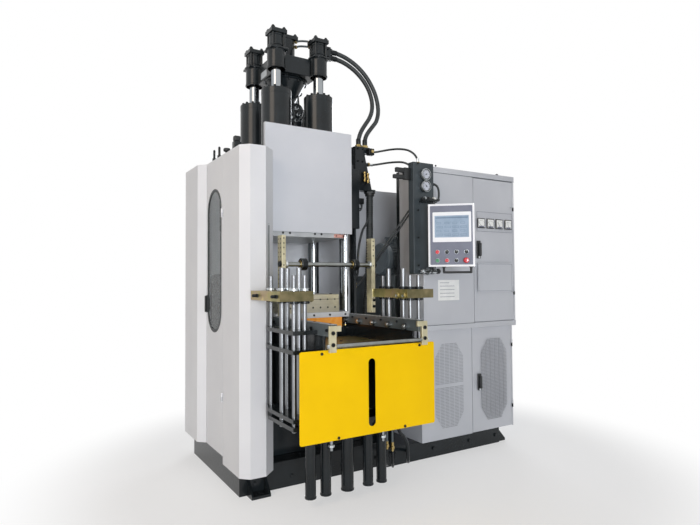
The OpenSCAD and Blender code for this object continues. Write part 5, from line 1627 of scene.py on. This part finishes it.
def layFloor():
    mesh = bmesh.new()
    bmesh.ops.create_grid(mesh, x_segments=2, y_segments=2, size=studio["floorSpan"] / 2)
    data = bpy.data.meshes.new("studioFloor")
    mesh.to_mesh(data)
    mesh.free()
    paper, tree, shader = newFinish("seamlessPaper", Roughness=0.95, Specular_IOR_Level=0.1)
    # rolled paper: the faintest fibre clouds
    place = addNode(tree, "TexCoord").outputs["Object"]
    cloud = addNode(tree, "TexNoise", {"Vector": place, "Scale": perMm(900)})
    ramp = addNode(tree, "ValToRGB", {"Fac": cloud.outputs["Fac"]})
    ramp.color_ramp.elements[0].color = toLinear("#fdfdfd")
    ramp.color_ramp.elements[1].color = toLinear(studio["floor"])
    tree.links.new(ramp.outputs["Color"], shader.inputs["Base Color"])
    # the paper keeps the shadow near the machine and is plain white further out
    reach = addNode(tree, "VectorMath", {0: place}, operation="LENGTH")
    far = addNode(tree, "MapRange", {"Value": reach.outputs["Value"], "From Min": studio["shadowTo"],
        "From Max": studio["whiteFrom"], "To Min": studio["whiteNear"]}, interpolation_type="SMOOTHSTEP")
    shown = addNode(tree, "Math", {0: seenRays(tree), 1: far.outputs["Result"]}, operation="MULTIPLY")
    white = addNode(tree, "Emission", {"Color": toLinear(studio["floor"]), "Strength": 1.0})
    mixed = addNode(tree, "MixShader", {0: shown.outputs[0], 1: shader.outputs[0], 2: white.outputs[0]})
    tree.links.new(mixed.outputs[0], tree.nodes["Material Output"].inputs["Surface"])
    data.materials.append(paper)
    floor = bpy.data.objects.new("studioFloor", data)
    bpy.context.scene.collection.objects.link(floor)


def lightWorld():
    world = bpy.data.worlds.new("studioWorld")
    bpy.context.scene.world = world
    world.use_nodes = True
    tree = world.node_tree
    tree.nodes.clear()
    ambient = addNode(tree, "Background", {"Color": (1, 1, 1, 1), "Strength": studio["ambient"]})
    backdrop = addNode(tree, "Background", {"Color": (1, 1, 1, 1), "Strength": 1.0})
    mixed = addNode(tree, "MixShader", {0: seenRays(tree), 1: ambient.outputs[0], 2: backdrop.outputs[0]})
    addNode(tree, "OutputWorld", {"Surface": mixed.outputs[0]})


def hangLamp(name, place, aim, size, watts, colour):
    lamp = bpy.data.lights.new(name, "AREA")
    lamp.shape = "RECTANGLE"
    lamp.size, lamp.size_y = size
    lamp.energy = watts
    lamp.color = toLinear(colour)[:3]
    holder = bpy.data.objects.new(name, lamp)
    holder.location = place
    holder.rotation_euler = (Vector(aim) - Vector(place)).to_track_quat("-Z", "Y").to_euler()
    bpy.context.scene.collection.objects.link(holder)


layFloor()
lightWorld()
for name, spec in lamps.items():
    hangLamp(name, **spec)
bpy.context.scene.view_settings.view_transform = "Standard"
print("floor and light set")
